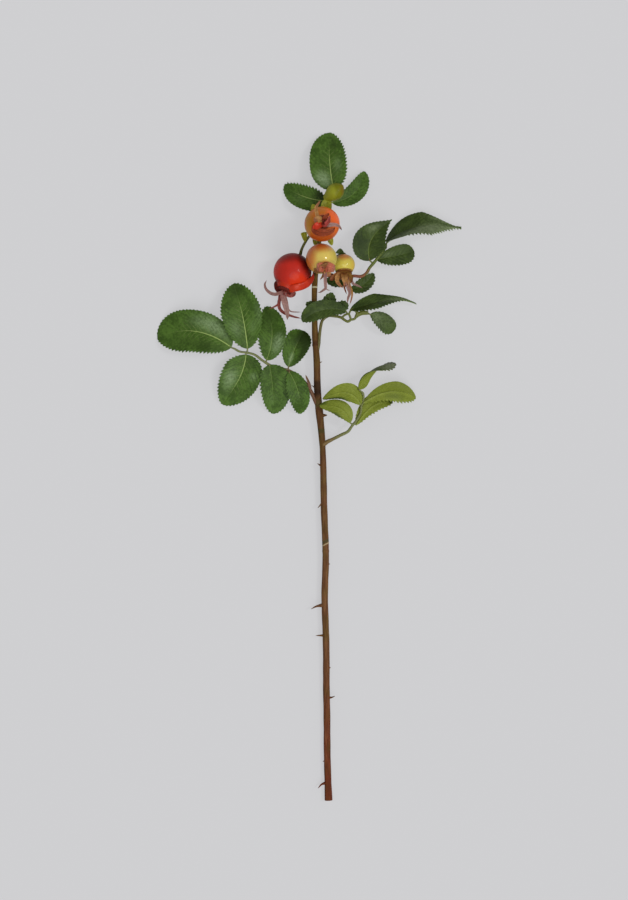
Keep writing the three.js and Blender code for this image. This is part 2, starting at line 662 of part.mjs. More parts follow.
for (const [name, hip] of Object.entries(HIPS)) {
  add(`hip_${name}`, hipBody(hip), MATERIALS[name]);
  add(`calyx_${name}`, calyx(hip, SEPALS[name]), MATERIALS.sepal);
}
add("hip_bud", budBody(), MATERIALS.bud);

const hipSpace = [...Object.values(HIPS).map((hip) => hipBody(hip, GAP)), budBody(GAP)];
for (const [name, { path, radius }] of Object.entries(PEDICELS)) {
  const stalk = tube(path.map(vector), () => radius, SIDES.pedicel, 6);
  add(`pedicel_${name}`, trim(stalk, [stemTube(GAP), ...hipSpace]), MATERIALS.stalk);
}
for (const [name, shape] of Object.entries(BRACTS))
  add(`bract_${name}`, trim(blade(shape, LEAF.thickness, 6, 4), hipSpace), MATERIALS.bract);

export default sprig;
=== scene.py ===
"""A rose hip sprig laid on a pale floor, seen from straight above.

Blades, stalks and hips follow the same driving dimensions as the solids, in millimetres. They add what
the solids leave out: toothed and veined leaves, bark, curled sepals, and each hip's own colouring.
Some of that colour is painted light: sheen and shade on the leaves, shadow on the stem, shade on the red
hip.
"""

import math
import random

import bpy
import numpy as np
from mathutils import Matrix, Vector


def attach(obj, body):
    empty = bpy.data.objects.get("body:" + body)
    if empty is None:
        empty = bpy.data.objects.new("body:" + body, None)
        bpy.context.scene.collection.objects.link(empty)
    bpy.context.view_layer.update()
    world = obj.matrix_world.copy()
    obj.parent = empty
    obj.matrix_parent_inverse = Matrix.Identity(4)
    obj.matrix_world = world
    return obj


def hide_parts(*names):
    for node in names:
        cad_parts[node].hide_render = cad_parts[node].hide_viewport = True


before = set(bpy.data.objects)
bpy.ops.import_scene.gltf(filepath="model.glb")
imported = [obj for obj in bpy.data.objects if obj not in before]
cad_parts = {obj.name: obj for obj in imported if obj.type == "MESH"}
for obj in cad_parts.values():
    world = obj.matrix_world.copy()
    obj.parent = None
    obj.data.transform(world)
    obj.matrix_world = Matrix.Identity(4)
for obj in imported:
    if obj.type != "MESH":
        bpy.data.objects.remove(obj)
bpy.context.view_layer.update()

MM = 0.001
UP = np.array([0.0, 0.0, 1.0])

# ---------------- Driving dimensions, as in the solids (mm) ----------------
STEM_PATH = (
    (14.5, -252, 2.9), (13.7, -228, 2.7), (13.1, -175, 3), (12.6, -131, 3.5), (11.5, -100, 4),
    (12.3, -70, 4.5), (11, -25, 5), (10.2, 9, 6), (9, 27, 6.5), (7, 48, 7.5), (6, 61, 8), (5.6, 80, 8.5),
    (4.3, 99, 9), (3.7, 125, 9.5), (4.4, 144, 10), (6.5, 163, 10.5), (9, 183, 11), (9, 191, 11),
)
STEM_RADII = (
    (0, 2.9), (0.03, 2.6), (0.3, 2.5), (0.55, 2.45), (0.6, 2.25), (0.66, 2.8), (0.7, 2.6), (0.74, 2.5),
    (0.84, 2.1), (0.9, 2.1), (0.96, 1.9), (1, 2.3),
)
# Each prickle's foot, tip and radius, and how far it hooks along the stem.
PRICKLES = (
    ((14, -238, 2.8), (6.5, -242, 4.5), 1.1, 1.4),
    ((13.6, -221, 2.7), (10.2, -222, 3.2), 1.2, 0),
    ((13.1, -174, 3), (19.3, -172.5, 5), 1, -0.5),
    ((12.8, -152, 3.2), (16, -151, 4.5), 1.6, 0),
    ((12.6, -127, 3.5), (4.8, -127, 5), 1, 0),
    ((11.6, -104, 4), (1.2, -107, 6), 1.2, 0.8),
    ((12.2, -74, 4.5), (15.6, -73, 5.5), 1.1, 0),
    ((11.2, -25, 5.2), (6.3, -31, 6.5), 0.9, -0.3),
    ((10.2, 0, 6), (6, 2.5, 7), 1, 0),
    ((8.2, 38.5, 7), (13.6, 38.8, 7.8), 1.7, 0),
    ((6, 56, 8), (1.6, 61, 11), 0.9, 1),
    ((5.6, 77, 8.4), (9.6, 79, 9), 0.8, 0),
)
# Leaf stalks: the radii are at the foot and at the end.
STALKS = {
    "left": dict(
        path=(
            (6, 47, 7.5), (2.5, 54, 8), (-0.5, 59.5, 9), (-7.5, 67.5, 8.5), (-16, 72.5, 8.5),
            (-23.5, 74, 9), (-30, 76.5, 9.5), (-35.5, 80, 10), (-41, 84, 10), (-46.5, 85.5, 10),
            (-52.5, 86.5, 10), (-56, 88.5, 10),
        ),
        radii=(1.9, 0.8),
        stipule=dict(path=((0.8, 56.5, 9.2), (0.2, 61, 10.3), (-2.8, 69, 11)), width=2.2),
    ),
    "low_right": dict(
        path=(
            (9.5, 16, 6.2), (13, 18.5, 6.8), (18, 21, 8), (24, 24, 10), (29, 26.5, 11), (32, 30.5, 11.5),
            (35.5, 35, 12), (38.5, 40.5, 12.5), (39, 45.5, 13), (40.5, 50, 13.5), (40.5, 55, 14),
        ),
        radii=(2, 0.7),
    ),
    "mid_right": dict(
        path=(
            (5.5, 85, 8.6), (7, 92, 9), (8, 102, 9.5), (10, 110, 9.7), (14, 113, 9.8), (20, 112.8, 10),
            (24, 111.8, 10.4), (26.5, 110, 10.9), (28.9, 108.9, 11), (31.2, 110.3, 11), (33.6, 110.8, 11),
            (35.4, 112.6, 11), (39, 114.4, 10.9), (44, 115, 10),
        ),
        radii=(1.5, 0.9),
        branches=(
            dict(
                path=((24.4, 111.8, 10.6), (26.7, 113.8, 11.3), (29.4, 114.4, 12), (31.2, 110.4, 11)),
                radius=0.8,
            ),
            dict(path=((29.6, 114.3, 12), (31, 117, 12.4), (33.6, 118.4, 12.6)), radius=0.7),
            dict(path=((35, 112.2, 11), (36, 115.2, 11.8), (34.2, 118.2, 12.6)), radius=1.3),
            dict(path=((35.8, 113.6, 11), (39.5, 115.8, 11), (44, 115.4, 10.2)), radius=1.4),
        ),
    ),
    "high_right": dict(
        path=(
            (4.6, 146.5, 10), (9.5, 146.8, 8.5), (14, 145.6, 6.8), (20, 143, 5.4), (27, 141.6, 5.2),
            (33, 143.3, 7), (39, 143, 8), (43, 145.5, 9), (45, 149, 10), (47.5, 152, 10.5), (50, 155, 11),
            (54.5, 161, 11.5), (57.5, 165, 12),
        ),
        radii=(1.4, 1.1),
    ),
    "top": dict(
        path=((9, 190, 11), (10.5, 194.5, 12), (13, 199, 12.5), (15.5, 203, 12.5), (17, 205.5, 12.5)),
        radii=(1.6, 0.9),
    ),
}


def blade(base, tip, width, bow=2, fold=8, **shape):
    """A leaflet's or a bract's shape, from its base to its tip.

    In degrees: roll about that line, twist along it, and the fold of each half about the midrib. In mm:
    how far it bows out of its plane and sweeps to the right, the latter more towards one end by skew.
    Then where it is widest, how full it is before and after that, how pointed its tip is, and how much
    of its width leans to its right half.
    """
    return dict(base=base, tip=tip, width=width, bow=bow, fold=fold, **shape)


LEAFLETS = {
    "left_end": blade(
        (-58.5, 89.5, 10), (-114.5, 97, 1.2), 32, roll=-5, bow=5, sweep=8, fold=6, widest=0.56,
        full=(2.7, 2.8),
    ),
    "left_upper_3": blade(
        (-46.3, 88.5, 11), (-57, 137.5, 7.5), 30.5, roll=-4, bow=2.5, sweep=1.5, widest=0.54,
        full=(2, 1.8), lean=-0.05,
    ),
    "left_upper_2": blade((-32, 80, 9.5), (-32.8, 120.5, 2), 21.5, sweep=4.5, full=(2.2, 1.8)),
    "left_upper_1": blade((-15.6, 75, 9), (-4, 102.3, 1), 19.6, sweep=-1, widest=0.62, full=(2, 2.9)),
    "left_lower_3": blade(
        (-47.5, 84.3, 9.6), (-65.6, 47.2, 1), 30, roll=5, sweep=-3, skew=-0.4, widest=0.43,
        full=(3.2, 1.65), lean=-0.03,
    ),
    "left_lower_2": blade(
        (-29.8, 76.6, 10.6), (-27.3, 40, 0.8), 23, roll=3, bow=1.5, sweep=-1, widest=0.4, full=(3.2, 2.1),
        lean=-0.2,
    ),
    "left_lower_1": blade(
        (-15.2, 71.4, 11.4), (-7.2, 40, 0.6), 16.5, bow=4, sweep=-3, widest=0.48, full=(2.3, 1.8),
    ),
    "top_end": blade(
        (18.3, 206.7, 12.5), (15.3, 252, 0.8), 28, sweep=-1.5, widest=0.44, full=(2.4, 2.2), lean=-0.1,
    ),
    "top_left": blade(
        (13, 199, 12), (-18.7, 212.3, 0.8), 18.3, sweep=-3, widest=0.41, full=(2.5, 2), lean=-0.07,
    ),
    "top_right": blade(
        (17.3, 198, 11.3), (41.3, 222.5, 1.5), 14.4, roll=-2, bow=1.5, sweep=6.5, full=(2.1, 2.4),
    ),
    "high_end": blade(
        (57.9, 168.2, 9.5), (114.4, 180, 1.5), 25, roll=37, twist=-60, bow=8, sweep=-2.6, fold=13,
        widest=0.53, full=(2.6, 1.05), point=1.6, lean=0.06,
    ),
    "high_upper": blade(
        (45.4, 154.3, 13), (61.9, 185.3, 12.5), 26, sweep=-6.2, skew=-0.36, widest=0.35, full=(2.6, 1.5),
        point=1.3,
    ),
    "high_lower": blade((50.5, 155.5, 9.3), (79, 162, 4), 15.6, sweep=0.5, widest=0.6, full=(1.5, 3)),
    "high_base_right": blade(
        (31.2, 133.5, 3), (48.2, 145.7, 3.2), 10.8, bow=1.5, sweep=2.8, widest=0.47, full=(2, 2.1),
    ),
    "high_base_left": blade((29, 139.2, 4), (12.5, 140.5, 3), 9.5, bow=0.5, full=(2.2, 2)),
    "mid_left": blade(
        (27.8, 116, 14.5), (-5.3, 108.8, 14.8), 14, roll=-2, sweep=4.8, widest=0.58, full=(2.1, 2.5),
        lean=0.1,
    ),
    "mid_left_back": blade((8, 118, 12.4), (-2.5, 122.5, 12.4), 7, bow=0.3, fold=3, full=(2, 2.2)),
    "mid_up": blade((14, 116, 12.6), (16.8, 130.5, 12.6), 11, bow=0.2, fold=2, full=(2, 1.5), lean=-0.1),
    "mid_up_right": blade((18.5, 118, 12), (29.2, 121.8, 12), 8.5, bow=0.3, fold=2, full=(2, 3)),
    "mid_end": blade(
        (30.8, 117.8, 12.8), (80.3, 122.6, 4), 16, roll=44, twist=28, bow=7.8, sweep=2, fold=13,
        skew=-0.1, widest=0.37, full=(1.45, 1.05), point=1.25,
    ),
    "mid_right": blade(
        (45.7, 114.3, 10), (62.4, 101, 2), 13, roll=-3, sweep=-2.3, widest=0.55, full=(1.8, 3.4),
    ),
    "low_end": blade(
        (37, 57.9, 15.2), (64.7, 77, 14.2), 11, roll=98, twist=-145, bow=6.3, sweep=0.6, fold=-28,
        skew=-6.5, full=(4.5, 6),
    ),
    "low_upper_left": blade(
        (38.2, 46.5, 14.8), (10, 50.8, 15), 14.6, roll=162, bow=-4.5, sweep=-5.7, fold=-8, skew=-0.5,
        widest=0.34, full=(2.6, 1.1), lean=-0.1,
    ),
    "low_upper_right": blade(
        (40.3, 47.5, 13.8), (79.8, 51.8, 5), 17, roll=195, bow=-7, sweep=4.6, widest=0.65,
        full=(1.1, 2.2), lean=0.08,
    ),
    "low_lower_left": blade(
        (30.4, 33, 12.5), (7.8, 45.7, 12.5), 12.8, roll=165, bow=-3, sweep=-4.8, fold=-8, skew=-0.35,
        widest=0.42, full=(2.1, 1.7),
    ),
    "low_lower_right": blade(
        (35.3, 31.5, 10.5), (62.6, 48.5, 6), 13.5, roll=188, bow=-2.5, sweep=5, fold=-6, skew=0.33,
        full=(1.1, 4), lean=0.25,
    ),
}
# The collar is its radius and its height over the centre, as shares of the hip's radius.
HIPS = {
    "red": dict(centre=(-12.5, 145.8, 14.2), radius=14.2, axis=(-0.38, -0.88, 0.22), collar=(0.42, 1.04)),
    "orange": dict(centre=(9.5, 179.5, 34), radius=13, axis=(0.05, 0, 1), collar=(0.42, 0.97)),
    "yellow": dict(centre=(9, 154.5, 27), radius=11.4, axis=(0.2, -0.62, 0.75), collar=(0.45, 0.98)),
    "small": dict(centre=(26, 151.5, 8.6), radius=8.2, axis=(0.02, -0.96, 0.28), collar=(0.8, 0.6)),
}
PEDICELS = {
    "red": dict(
        path=((7, 177, 12.5), (1, 173.5, 14.8), (-3, 168, 15), (-5.8, 162.5, 13), (-6.6, 159.5, 11.8)),
        radius=1,
    ),
    "orange": dict(path=((9.3, 184, 13.8), (9, 183, 17), (9, 180.5, 20.4)), radius=1.3),
    "yellow": dict(path=((7, 168, 13.2), (7.5, 166, 15), (8.8, 163, 18)), radius=1.1),
    "small": dict(
        path=((8, 160.5, 9.8), (14, 158.5, 6), (19, 158, 2.6), (23.5, 160, 2.6), (25.7, 160, 5.4)),
        radius=0.8,
    ),
    "bud": dict(path=((9.5, 187.5, 14), (10, 192, 17), (12.3, 199, 19.8)), radius=1.4),
}
BRACTS = {
    "top": blade((11.8, 186.8, 21), (13.3, 199, 22.8), 8.4, bow=0.8, fold=15, full=(2.4, 3.5)),
    "top_left": blade((6, 186.5, 16), (2.4, 196, 18), 6, bow=1, fold=10, full=(2, 2)),
    "stalk": blade(
        (-3, 167.8, 17.5), (-4.3, 175.2, 18), 4.8, roll=-15, bow=0, fold=12, widest=0.8, full=(1.3, 4),
    ),
    "low_left": blade((5.5, 176, 16.8), (4, 165.5, 17.8), 4.5, roll=180, bow=-0.5, fold=0, full=(2, 2)),
    "low_right": blade((14, 175, 14), (17, 165.5, 16), 4.5, roll=180, bow=-1, fold=0, full=(2, 2)),
    "small": blade((23, 159.6, 9.6), (23.2, 163.8, 10.2), 6.6, bow=0, fold=10, widest=0.2, full=(2, 1.1)),
}
# Which skin a sepal has: its calyx's own, its calyx's dark one, the fleshy one, or one of the two that
# the dried sepals share.
OWN, DARK, FLESHY, MAUVE, TAN = range(5)


def sepal(skin, width, *path, **form):
    """A sepal tapers, unless its form says that it is a lobe or that it hugs its hip."""
    return dict(skin=skin, width=width, path=path, **form)


SEPALS = {
    "red": (
        sepal(
            MAUVE, 2.6, (-21.5, 129.8, 19.5), (-25.5, 128.8, 18), (-29.3, 130, 16.5), (-32.3, 133, 15),
            (-33.3, 136.5, 14), (-31.9, 139.6, 13.5),
        ),
        sepal(
            DARK, 3.6, (-21.8, 131, 16.5), (-24, 133, 15), (-25, 136, 14), (-25.2, 139, 13.5), lobe=True,
        ),
        sepal(OWN, 2.6, (-14.5, 133, 21.5), (-10.3, 134, 23)),
        sepal(OWN, 6, (-14, 129.3, 15), (-10, 129.8, 14.5), lobe=True),
        sepal(
            MAUVE, 4.8, (-19.3, 128, 17), (-18.5, 124, 15.5), (-17.3, 119, 13.5), (-16.4, 114, 11.5),
            (-16.5, 110.5, 10),
        ),
        sepal(
            OWN, 2, (-22, 128, 15), (-22.6, 123, 13), (-24, 121.2, 12), (-27, 119.6, 11),
            (-30.2, 118.4, 10.5),
        ),
        sepal(
            OWN, 2.6, (-22, 126, 12), (-22.8, 121.6, 9), (-22, 118.4, 8), (-19, 115.6, 7.3),
            (-12.5, 113, 6.8), (-5.7, 111.4, 6.5),
        ),
        sepal(
            MAUVE, 1.3, (-17.5, 125, 11), (-16, 119, 9), (-14, 116.7, 8.5), (-9.7, 116.2, 8),
            (-5.7, 116.2, 7.8),
        ),
        sepal(
            FLESHY, 6, (-10, 133.2, 23.5), (-5.2, 134.6, 22.3), (-0.6, 137.4, 20), (2.4, 141, 17.8),
            (3.2, 144.5, 16.5), hugs=True,
        ),
    ),
    "orange": (
        sepal(
            TAN, 2.8, (6.3, 183, 50.5), (5.2, 187, 50), (5, 189.5, 49), (6, 192, 47.5), (8.3, 195.5, 46),
        ),
        sepal(OWN, 3.2, (11.5, 177, 52), (13.7, 179.5, 52.2), (15.3, 184, 51)),
        sepal(DARK, 3.4, (12, 183, 51.5), (14.5, 185.3, 50)),
        sepal(MAUVE, 3, (13.5, 177, 51.5), (17.5, 177.3, 51), (21.3, 176.7, 49), (23.7, 173.9, 46.5)),
        sepal(
            DARK, 6.2, (4.5, 174, 48.5), (7.5, 172, 49.5), (12, 171.4, 50), (16.5, 172.8, 49.7),
            (18.8, 175.3, 49),
        ),
        sepal(FLESHY, 5.5, (6, 176.5, 50.5), (2.8, 174.8, 49), lobe=True),
        sepal(TAN, 5, (6.5, 181.3, 50.5), (3.4, 180.5, 49), lobe=True),
    ),
    "yellow": (
        sepal(OWN, 7, (8.5, 147.2, 38.4), (5.4, 146.8, 36.8), lobe=True),
        sepal(OWN, 7, (14.5, 147.3, 38.4), (18.8, 145.8, 36), lobe=True),
        sepal(DARK, 5, (7.5, 145.6, 36), (3.8, 145, 32), lobe=True),
        sepal(TAN, 5.2, (13.4, 144, 36.5), (14.3, 140.8, 33.5), lobe=True),
        sepal(
            MAUVE, 2.6, (11.8, 143.5, 36.5), (11.8, 138.4, 34), (12, 134.6, 31.5), (12, 132.4, 29.5),
            (9.9, 130.7, 28.5), (7.9, 129.5, 28), (6.4, 129.4, 27.6),
        ),
        sepal(
            MAUVE, 1.4, (11.9, 143.5, 36.3), (11.9, 138.4, 33.8), (12.1, 134.6, 31.3),
            (12.4, 132.4, 29.4), (13.9, 131.2, 28.5), (15.9, 131, 28),
        ),
        sepal(DARK, 2, (11, 143.5, 36), (9.8, 140.6, 34), (8, 138.4, 33)),
    ),
    "small": (
        sepal(TAN, 3.6, (21.5, 143, 13), (20.8, 139.5, 13), (22.6, 136.3, 13.5), (25.4, 134, 14)),
        sepal(OWN, 5.5, (22, 143.5, 12), (18.5, 142, 11.5), (15.3, 139.6, 11.5)),
        sepal(TAN, 5, (26.4, 141, 15.6), (27, 136.4, 15.6), (26.4, 134.4, 15)),
        sepal(OWN, 1.8, (26, 138, 14.5), (26.4, 133.6, 14.5), (28, 129, 14.5)),
        sepal(
            TAN, 2, (29.5, 140, 15), (30, 136, 15.8), (31.3, 132.5, 16.6), (32, 129.5, 17.4),
            (31.5, 125.5, 18.4), (30.2, 121, 19),
        ),
        sepal(
            MAUVE, 3, (28.3, 139, 15), (29, 134, 16), (30.2, 130, 17), (29, 126, 18), (28.3, 122, 18.5),
        ),
        sepal(DARK, 4.4, (30.5, 142.5, 12.5), (31, 137.6, 12.5), lobe=True),
        sepal(MAUVE, 2.2, (31.5, 139.5, 11.5), (33, 137.2, 11), (36, 136, 10.5), (40, 134, 10)),
    ),
}
BUD = dict(foot=(12.5, 199.5, 20.3), head=(20.5, 205.5, 25), radius=6.3)
LEAF_END_HALF_WIDTH = 0.5
ROUNDED_END = 0.6
COLLAR_SHOULDER = 0.14
CALYX_HEIGHT = 1.4
GAP = 0.3

# ---------------- What the solids leave out (mm) ----------------
LEAF_THICKNESS = 0.45
MARGIN_THICKNESS = 0.22
LOWEST_BLADE = 0.3
TIP_HALF_WIDTH = 0.15
TOOTH_PITCH = 2.7
TOOTH_DEPTH = 1.5
TOOTH_SPREAD = (0.6, 1.2)  # from the shallowest tooth to the deepest, as shares of that
TOOTH_PEAK = 0.72  # where along a tooth its point lies
TOOTH_LEVEL = 0.55  # how much of a tooth lies inside the plain margin
TOOTH_HOOK = 0.4  # how far a tooth leans towards the tip, as a share of how far it stands out
FULL_TOOTH_LENGTH = 40  # shorter leaflets have shallower teeth, down to SHALLOWEST of their depth
SHALLOWEST = 0.65
TEETH_FROM = 0.04  # the share of the length at which they start
LEVELLED = (1, 1, 0.4)  # teeth stand out level rather than down
VEIN_PITCH = 3.8
VEIN_LEAN = 0.22  # how far a side vein runs towards the tip on its way out, as a share of the length
VEIN_CURVE = 0.1
VEIN_RIB = 0.12
QUILT = 0.36  # how far the blade puffs up between its side veins
RIPPLE = 0.012  # how far its margins rise and fall, as a share of its length
MIDRIB_DEPTH = 0.22
MIDRIB_RIB = 0.5
BRACT_RIBS = 0.6  # as a share of a leaflet's
JOIN_DEPTH = 0.3  # how far a leaflet's stalk runs on under its blade
LEAFLET_STALK = ((0, 0.75), (1, 0.35))  # its radius from the stalk to the blade
LEAF_SCARS = ((0.775, 0.35), (0.425, 0.2))  # where along the stem, and how high
SCAR_WIDTH = 0.0016  # as a share of the stem's length
STEM_LENGTH = 450  # that the bark's ridges are laid out over
CUT_SLANT = 1.6
PRICKLE_FLARE = ((0, 1.7), (0.3, 1.05), (0.5, 0.7), (0.8, 0.4))  # as shares of its radius
PRICKLE_POINT = 0.1
PRICKLE_BEND = 0.6  # where along a prickle it hooks
PEDICEL_FLARE = ((0, 1.3), (0.2, 1), (0.75, 1), (1, 1.25))
PEDICEL_OVERRUN = 1.5  # how far a hip's stalk runs on into the hip
FOOT_HOLLOW = 0.05  # round the foot of a hip, as a share of its radius
PINHOLE = 0.002  # that a fan closes
DISC_RADIUS = 0.92  # of a calyx, as a share of its collar's
DISC_FLARE = ((0, 1.02), (0.4, 0.92), (1, 0.97))
CALYX_SUNK = 0.4  # how deep a calyx's disc sits in its collar
SEPAL_THICKNESS = 0.55
SEPAL_THINNING = 0.3  # how much thinner it is at its margins
SEPAL_RIB = 0.15
RUFFLE = 0.05  # how far a sepal's margins curl up and down, as a share of its width
STAMENS = 26
STAMEN_LENGTH = (1.0, 1.9)
STAMEN_ROOT = 0.3
STAMEN_SPREAD = 0.55  # as a share of the disc's radius
STAMEN_RADII = ((0, 0.12), (1, 0.22))
WRAP_THICKNESS = 2.2  # of the fleshy sepal that hugs the red hip

# How fine the meshes are, and how their uv maps hold what they hold.
ACROSS = (0.03, 0.07, 0.13, 0.22, 0.34, 0.47, 0.6, 0.72, 0.82, 0.9, 0.95, 0.98, 1)  # a blade's columns
ROWS_PER_MM = 3.2
FEWEST_ROWS = 60
CLOSER_AT_ENDS = 0.07
STEPS_BETWEEN = 60  # between two points of a path
STALK_SAMPLES = 80
RIBBON_ROWS, RIBBON_COLUMNS = 37, 9
WRAP_ROWS, WRAP_SIDES = 49, 28
HIP_SIDES = 96
SHARP_FROM = 50  # degrees
UV_PER_MM = 0.02  # across a blade, on either side of 0.5
NEARLY_UPRIGHT = 0.3
SIDEWAYS = [1.0, 0, 0]

# Which way up each leaf lies and how it is coloured, and the upper and lower skin of each look.
LOOKS = {"left": "fresh", "top_": "fresh", "high": "dark", "mid_": "dark", "low_": "pale"}
LEAF_SIDES = {
    "fresh": ("leaf_fresh", "leaf_under"),
    "dark": ("leaf_dark", "leaf_under"),
    "pale": ("leaf_grey", "leaf_pale_under"),
}
STALK_OF = {"left": "left", "top_": "top", "high": "high_right", "mid_": "mid_right", "low_": "low_right"}
TAILS = {"high_end": 0.85, "mid_end": 0.8}  # half the width of a tip that ends blunt
RIBS = {"fresh": 1, "dark": 0.12, "pale": 0.25}  # how far the midrib stands out in colour

# Where painted sheen lightens each blade (+) and painted shade darkens it (-): the share of the length,
# the place across from -1 at the left edge to 1 at the right, the reach along and across, and how much.
# Then how deep its left and right margins are toothed and from what share of the length, how far its
# midrib stands out in colour, and how far it swells between its side veins.
BLADES = {
    "left_end": dict(
        patches=((0.3, 0.5, 0.26, 0.42, 0.62), (0.4, -0.6, 0.5, 0.4, -0.4)), teeth=(1.3, 0.6),
    ),
    "left_upper_3": dict(
        patches=(
            (0.5, 0.85, 0.2, 0.25, 0.3), (0.3, 0.45, 0.12, 0.25, 0.25), (0.32, -0.5, 0.16, 0.35, 0.4),
            (0.95, 0, 0.25, 1, -0.6),
        ),
    ),
    "left_upper_2": dict(
        rib=0.35, patches=((0.32, 0.5, 0.2, 0.5, 0.7), (0.85, 0, 0.3, 1, -0.5)), teeth=(1.2, 0.5),
    ),
    "left_upper_1": dict(
        rib=0.3, patches=((0.22, 0, 0.2, 0.3, 0.7), (0.9, 0.2, 0.4, 0.8, -1), (0.4, 0.8, 0.4, 0.4, -0.6)),
        teeth=(0.6, 0.6),
    ),
    "left_lower_3": dict(
        rib=0.8,
        patches=(
            (0.52, 0.45, 0.22, 0.35, 0.65), (0.3, -0.6, 0.1, 0.25, 0.5), (0.12, -0.3, 0.14, 0.6, -0.5),
        ),
        teeth=(0.8, 1.2),
    ),
    "left_lower_2": dict(
        rib=0.2, patches=((0.68, 0.1, 0.16, 0.3, 0.2), (0.1, 0.3, 0.2, 0.8, -0.3)), teeth=(0.7, 1.1),
    ),
    "left_lower_1": dict(
        rib=0.25, patches=((0.55, 0.05, 0.16, 0.3, 0.2), (0.15, 0, 0.2, 0.8, -0.3)), teeth=(0.5, 1.1),
    ),
    "top_end": dict(
        patches=(
            (0.2, -0.5, 0.14, 0.4, 0.9), (0.42, 0.45, 0.16, 0.3, 0.35), (0.8, 0.35, 0.14, 0.3, -0.6),
        ),
        teeth=(0.5, 1.1),
    ),
    "top_left": dict(
        rib=0.8, patches=((0.12, 0.6, 0.16, 0.6, -0.8), (0.55, -0.4, 0.2, 0.4, 0.2)), teeth=(0.5, 1.6),
    ),
    "top_right": dict(
        rib=0.15, patches=((0.7, -0.3, 0.3, 0.5, 0.1), (0.4, 0.7, 0.3, 0.4, -0.4)), teeth=(0.5, 0.5),
    ),
    "high_end": dict(
        patches=((0.6, 0.7, 0.4, 0.7, 1.6), (0.75, -0.8, 0.2, 0.4, 0.6), (0.25, 0, 0.2, 0.8, -0.4)),
        teeth=(0.2, 2.1), teeth_from=0.25,
    ),
    "high_upper": dict(
        rib=0.6,
        patches=((0.6, -0.5, 0.18, 0.35, 0.75), (0.3, -0.5, 0.2, 0.5, -0.7), (0.25, 0.6, 0.2, 0.4, -0.4)),
        teeth=(0.5, 0.9),
    ),
    "high_lower": dict(
        rib=0.2, patches=((0.3, -0.4, 0.2, 0.3, 0.5), (0.75, -0.4, 0.2, 0.4, -0.3)), teeth=(0.3, 1.2),
    ),
    "mid_left": dict(patches=((0.2, 0.2, 0.2, 0.4, -0.3), (0.55, 0.1, 0.2, 0.3, 0.25)), teeth=(1, 0.3)),
    "mid_end": dict(patches=((0.55, 0.2, 0.2, 0.4, 0.2), (0.9, 0, 0.3, 1, 1)), teeth=(0.1, 1.2)),
    "mid_right": dict(patches=((0.15, 0, 0.2, 0.8, 0.6), (0.6, 0, 0.5, 2, 0.3)), teeth=(0.3, 1.4)),
    "low_end": dict(
        quilt=0.4, patches=((0.9, 0, 0.35, 1.5, 0.8), (0.3, 1, 0.25, 0.2, -1.3)), teeth=(0.4, 1.6),
        teeth_from=0.55,
    ),
    "low_upper_left": dict(quilt=0.4, patches=((0.72, 0.95, 0.36, 0.3, -1.3),), teeth=(0.1, 0.3)),
    "low_upper_right": dict(
        quilt=0.3, patches=((0.6, -0.45, 0.35, 0.4, -0.45), (0.7, 0.6, 0.3, 0.3, 0.3)), teeth=(1.4, 0.1),
    ),
    "low_lower_left": dict(
        quilt=0.4, patches=((0.45, 0.95, 0.35, 0.3, -0.8), (0.95, -0.6, 0.15, 0.5, -0.9)),
        teeth=(0.1, 0.5),
    ),
    "low_lower_right": dict(quilt=0.4, patches=((0.98, 0.3, 0.08, 1, -1.1),), teeth=(1.4, 0.3)),
}

# ---------------- Colours ----------------
# Of each leaf skin: the painted shade of its creases and shaded patches, where it is dark and light, its
# painted sheen and its rib. Then its gloss and how strongly its creases are shaded, where that differs.
LEAF_COLOURS = {
    "leaf_fresh": ((34, 50, 12), (54, 80, 22), (76, 106, 38), (136, 158, 116), (150, 170, 96)),
    "leaf_dark": ((30, 46, 10), (46, 62, 20), (64, 82, 32), (112, 126, 88), (106, 122, 52)),
    "leaf_grey": ((44, 62, 18), (62, 76, 34), (78, 90, 48), (106, 110, 90), (112, 122, 66)),
    "leaf_pale_under": (
        (58, 72, 18), (116, 128, 42), (128, 140, 52), (146, 154, 88), (142, 150, 84), 0.14, 0.3,
    ),
    "leaf_under": ((66, 84, 36), (92, 112, 54), (108, 128, 66), (134, 150, 96), (150, 160, 96)),
    "bract": ((100, 104, 22), (130, 134, 34), (152, 156, 46), (168, 170, 88), (164, 164, 74)),
}
# Of each leaf stalk near the stem and near the leaflets, and from which x to which it turns.
STALK_COLOURS = {
    "left": ((116, 122, 76), (106, 70, 48), -40, 4),
    "low_right": ((112, 88, 48), (112, 118, 70), 10, 32),
    "mid_right": ((92, 86, 42), (100, 106, 44), 6, 30),
    "high_right": ((134, 76, 58), (88, 100, 36), 40, 47),
    "top": ((124, 128, 50), (136, 148, 60), 9, 17),
}
# Marks round the stem, two of them painted shadow: the height along it, half the length, the slant across
# and the colour of each.
BARK_MARKS_AND_SHADOWS = (
    # The first two marks, at 57 and 61 mm, are painted shadow; the rest are the bark's own marks.
    (57, 8, 0.2, (46, 28, 14)), (61, 5, 0, (58, 38, 20)), (47.5, 4, 0, (82, 68, 34)),
    (92.5, 3, 0, (74, 46, 24)), (134.7, 0.9, 0, (176, 170, 138)), (27, 2.5, 0, (72, 62, 30)),
    (-62.2, 1.8, 0.5, (76, 66, 38)), (-64.4, 0.7, 0.5, (164, 148, 112)),
)
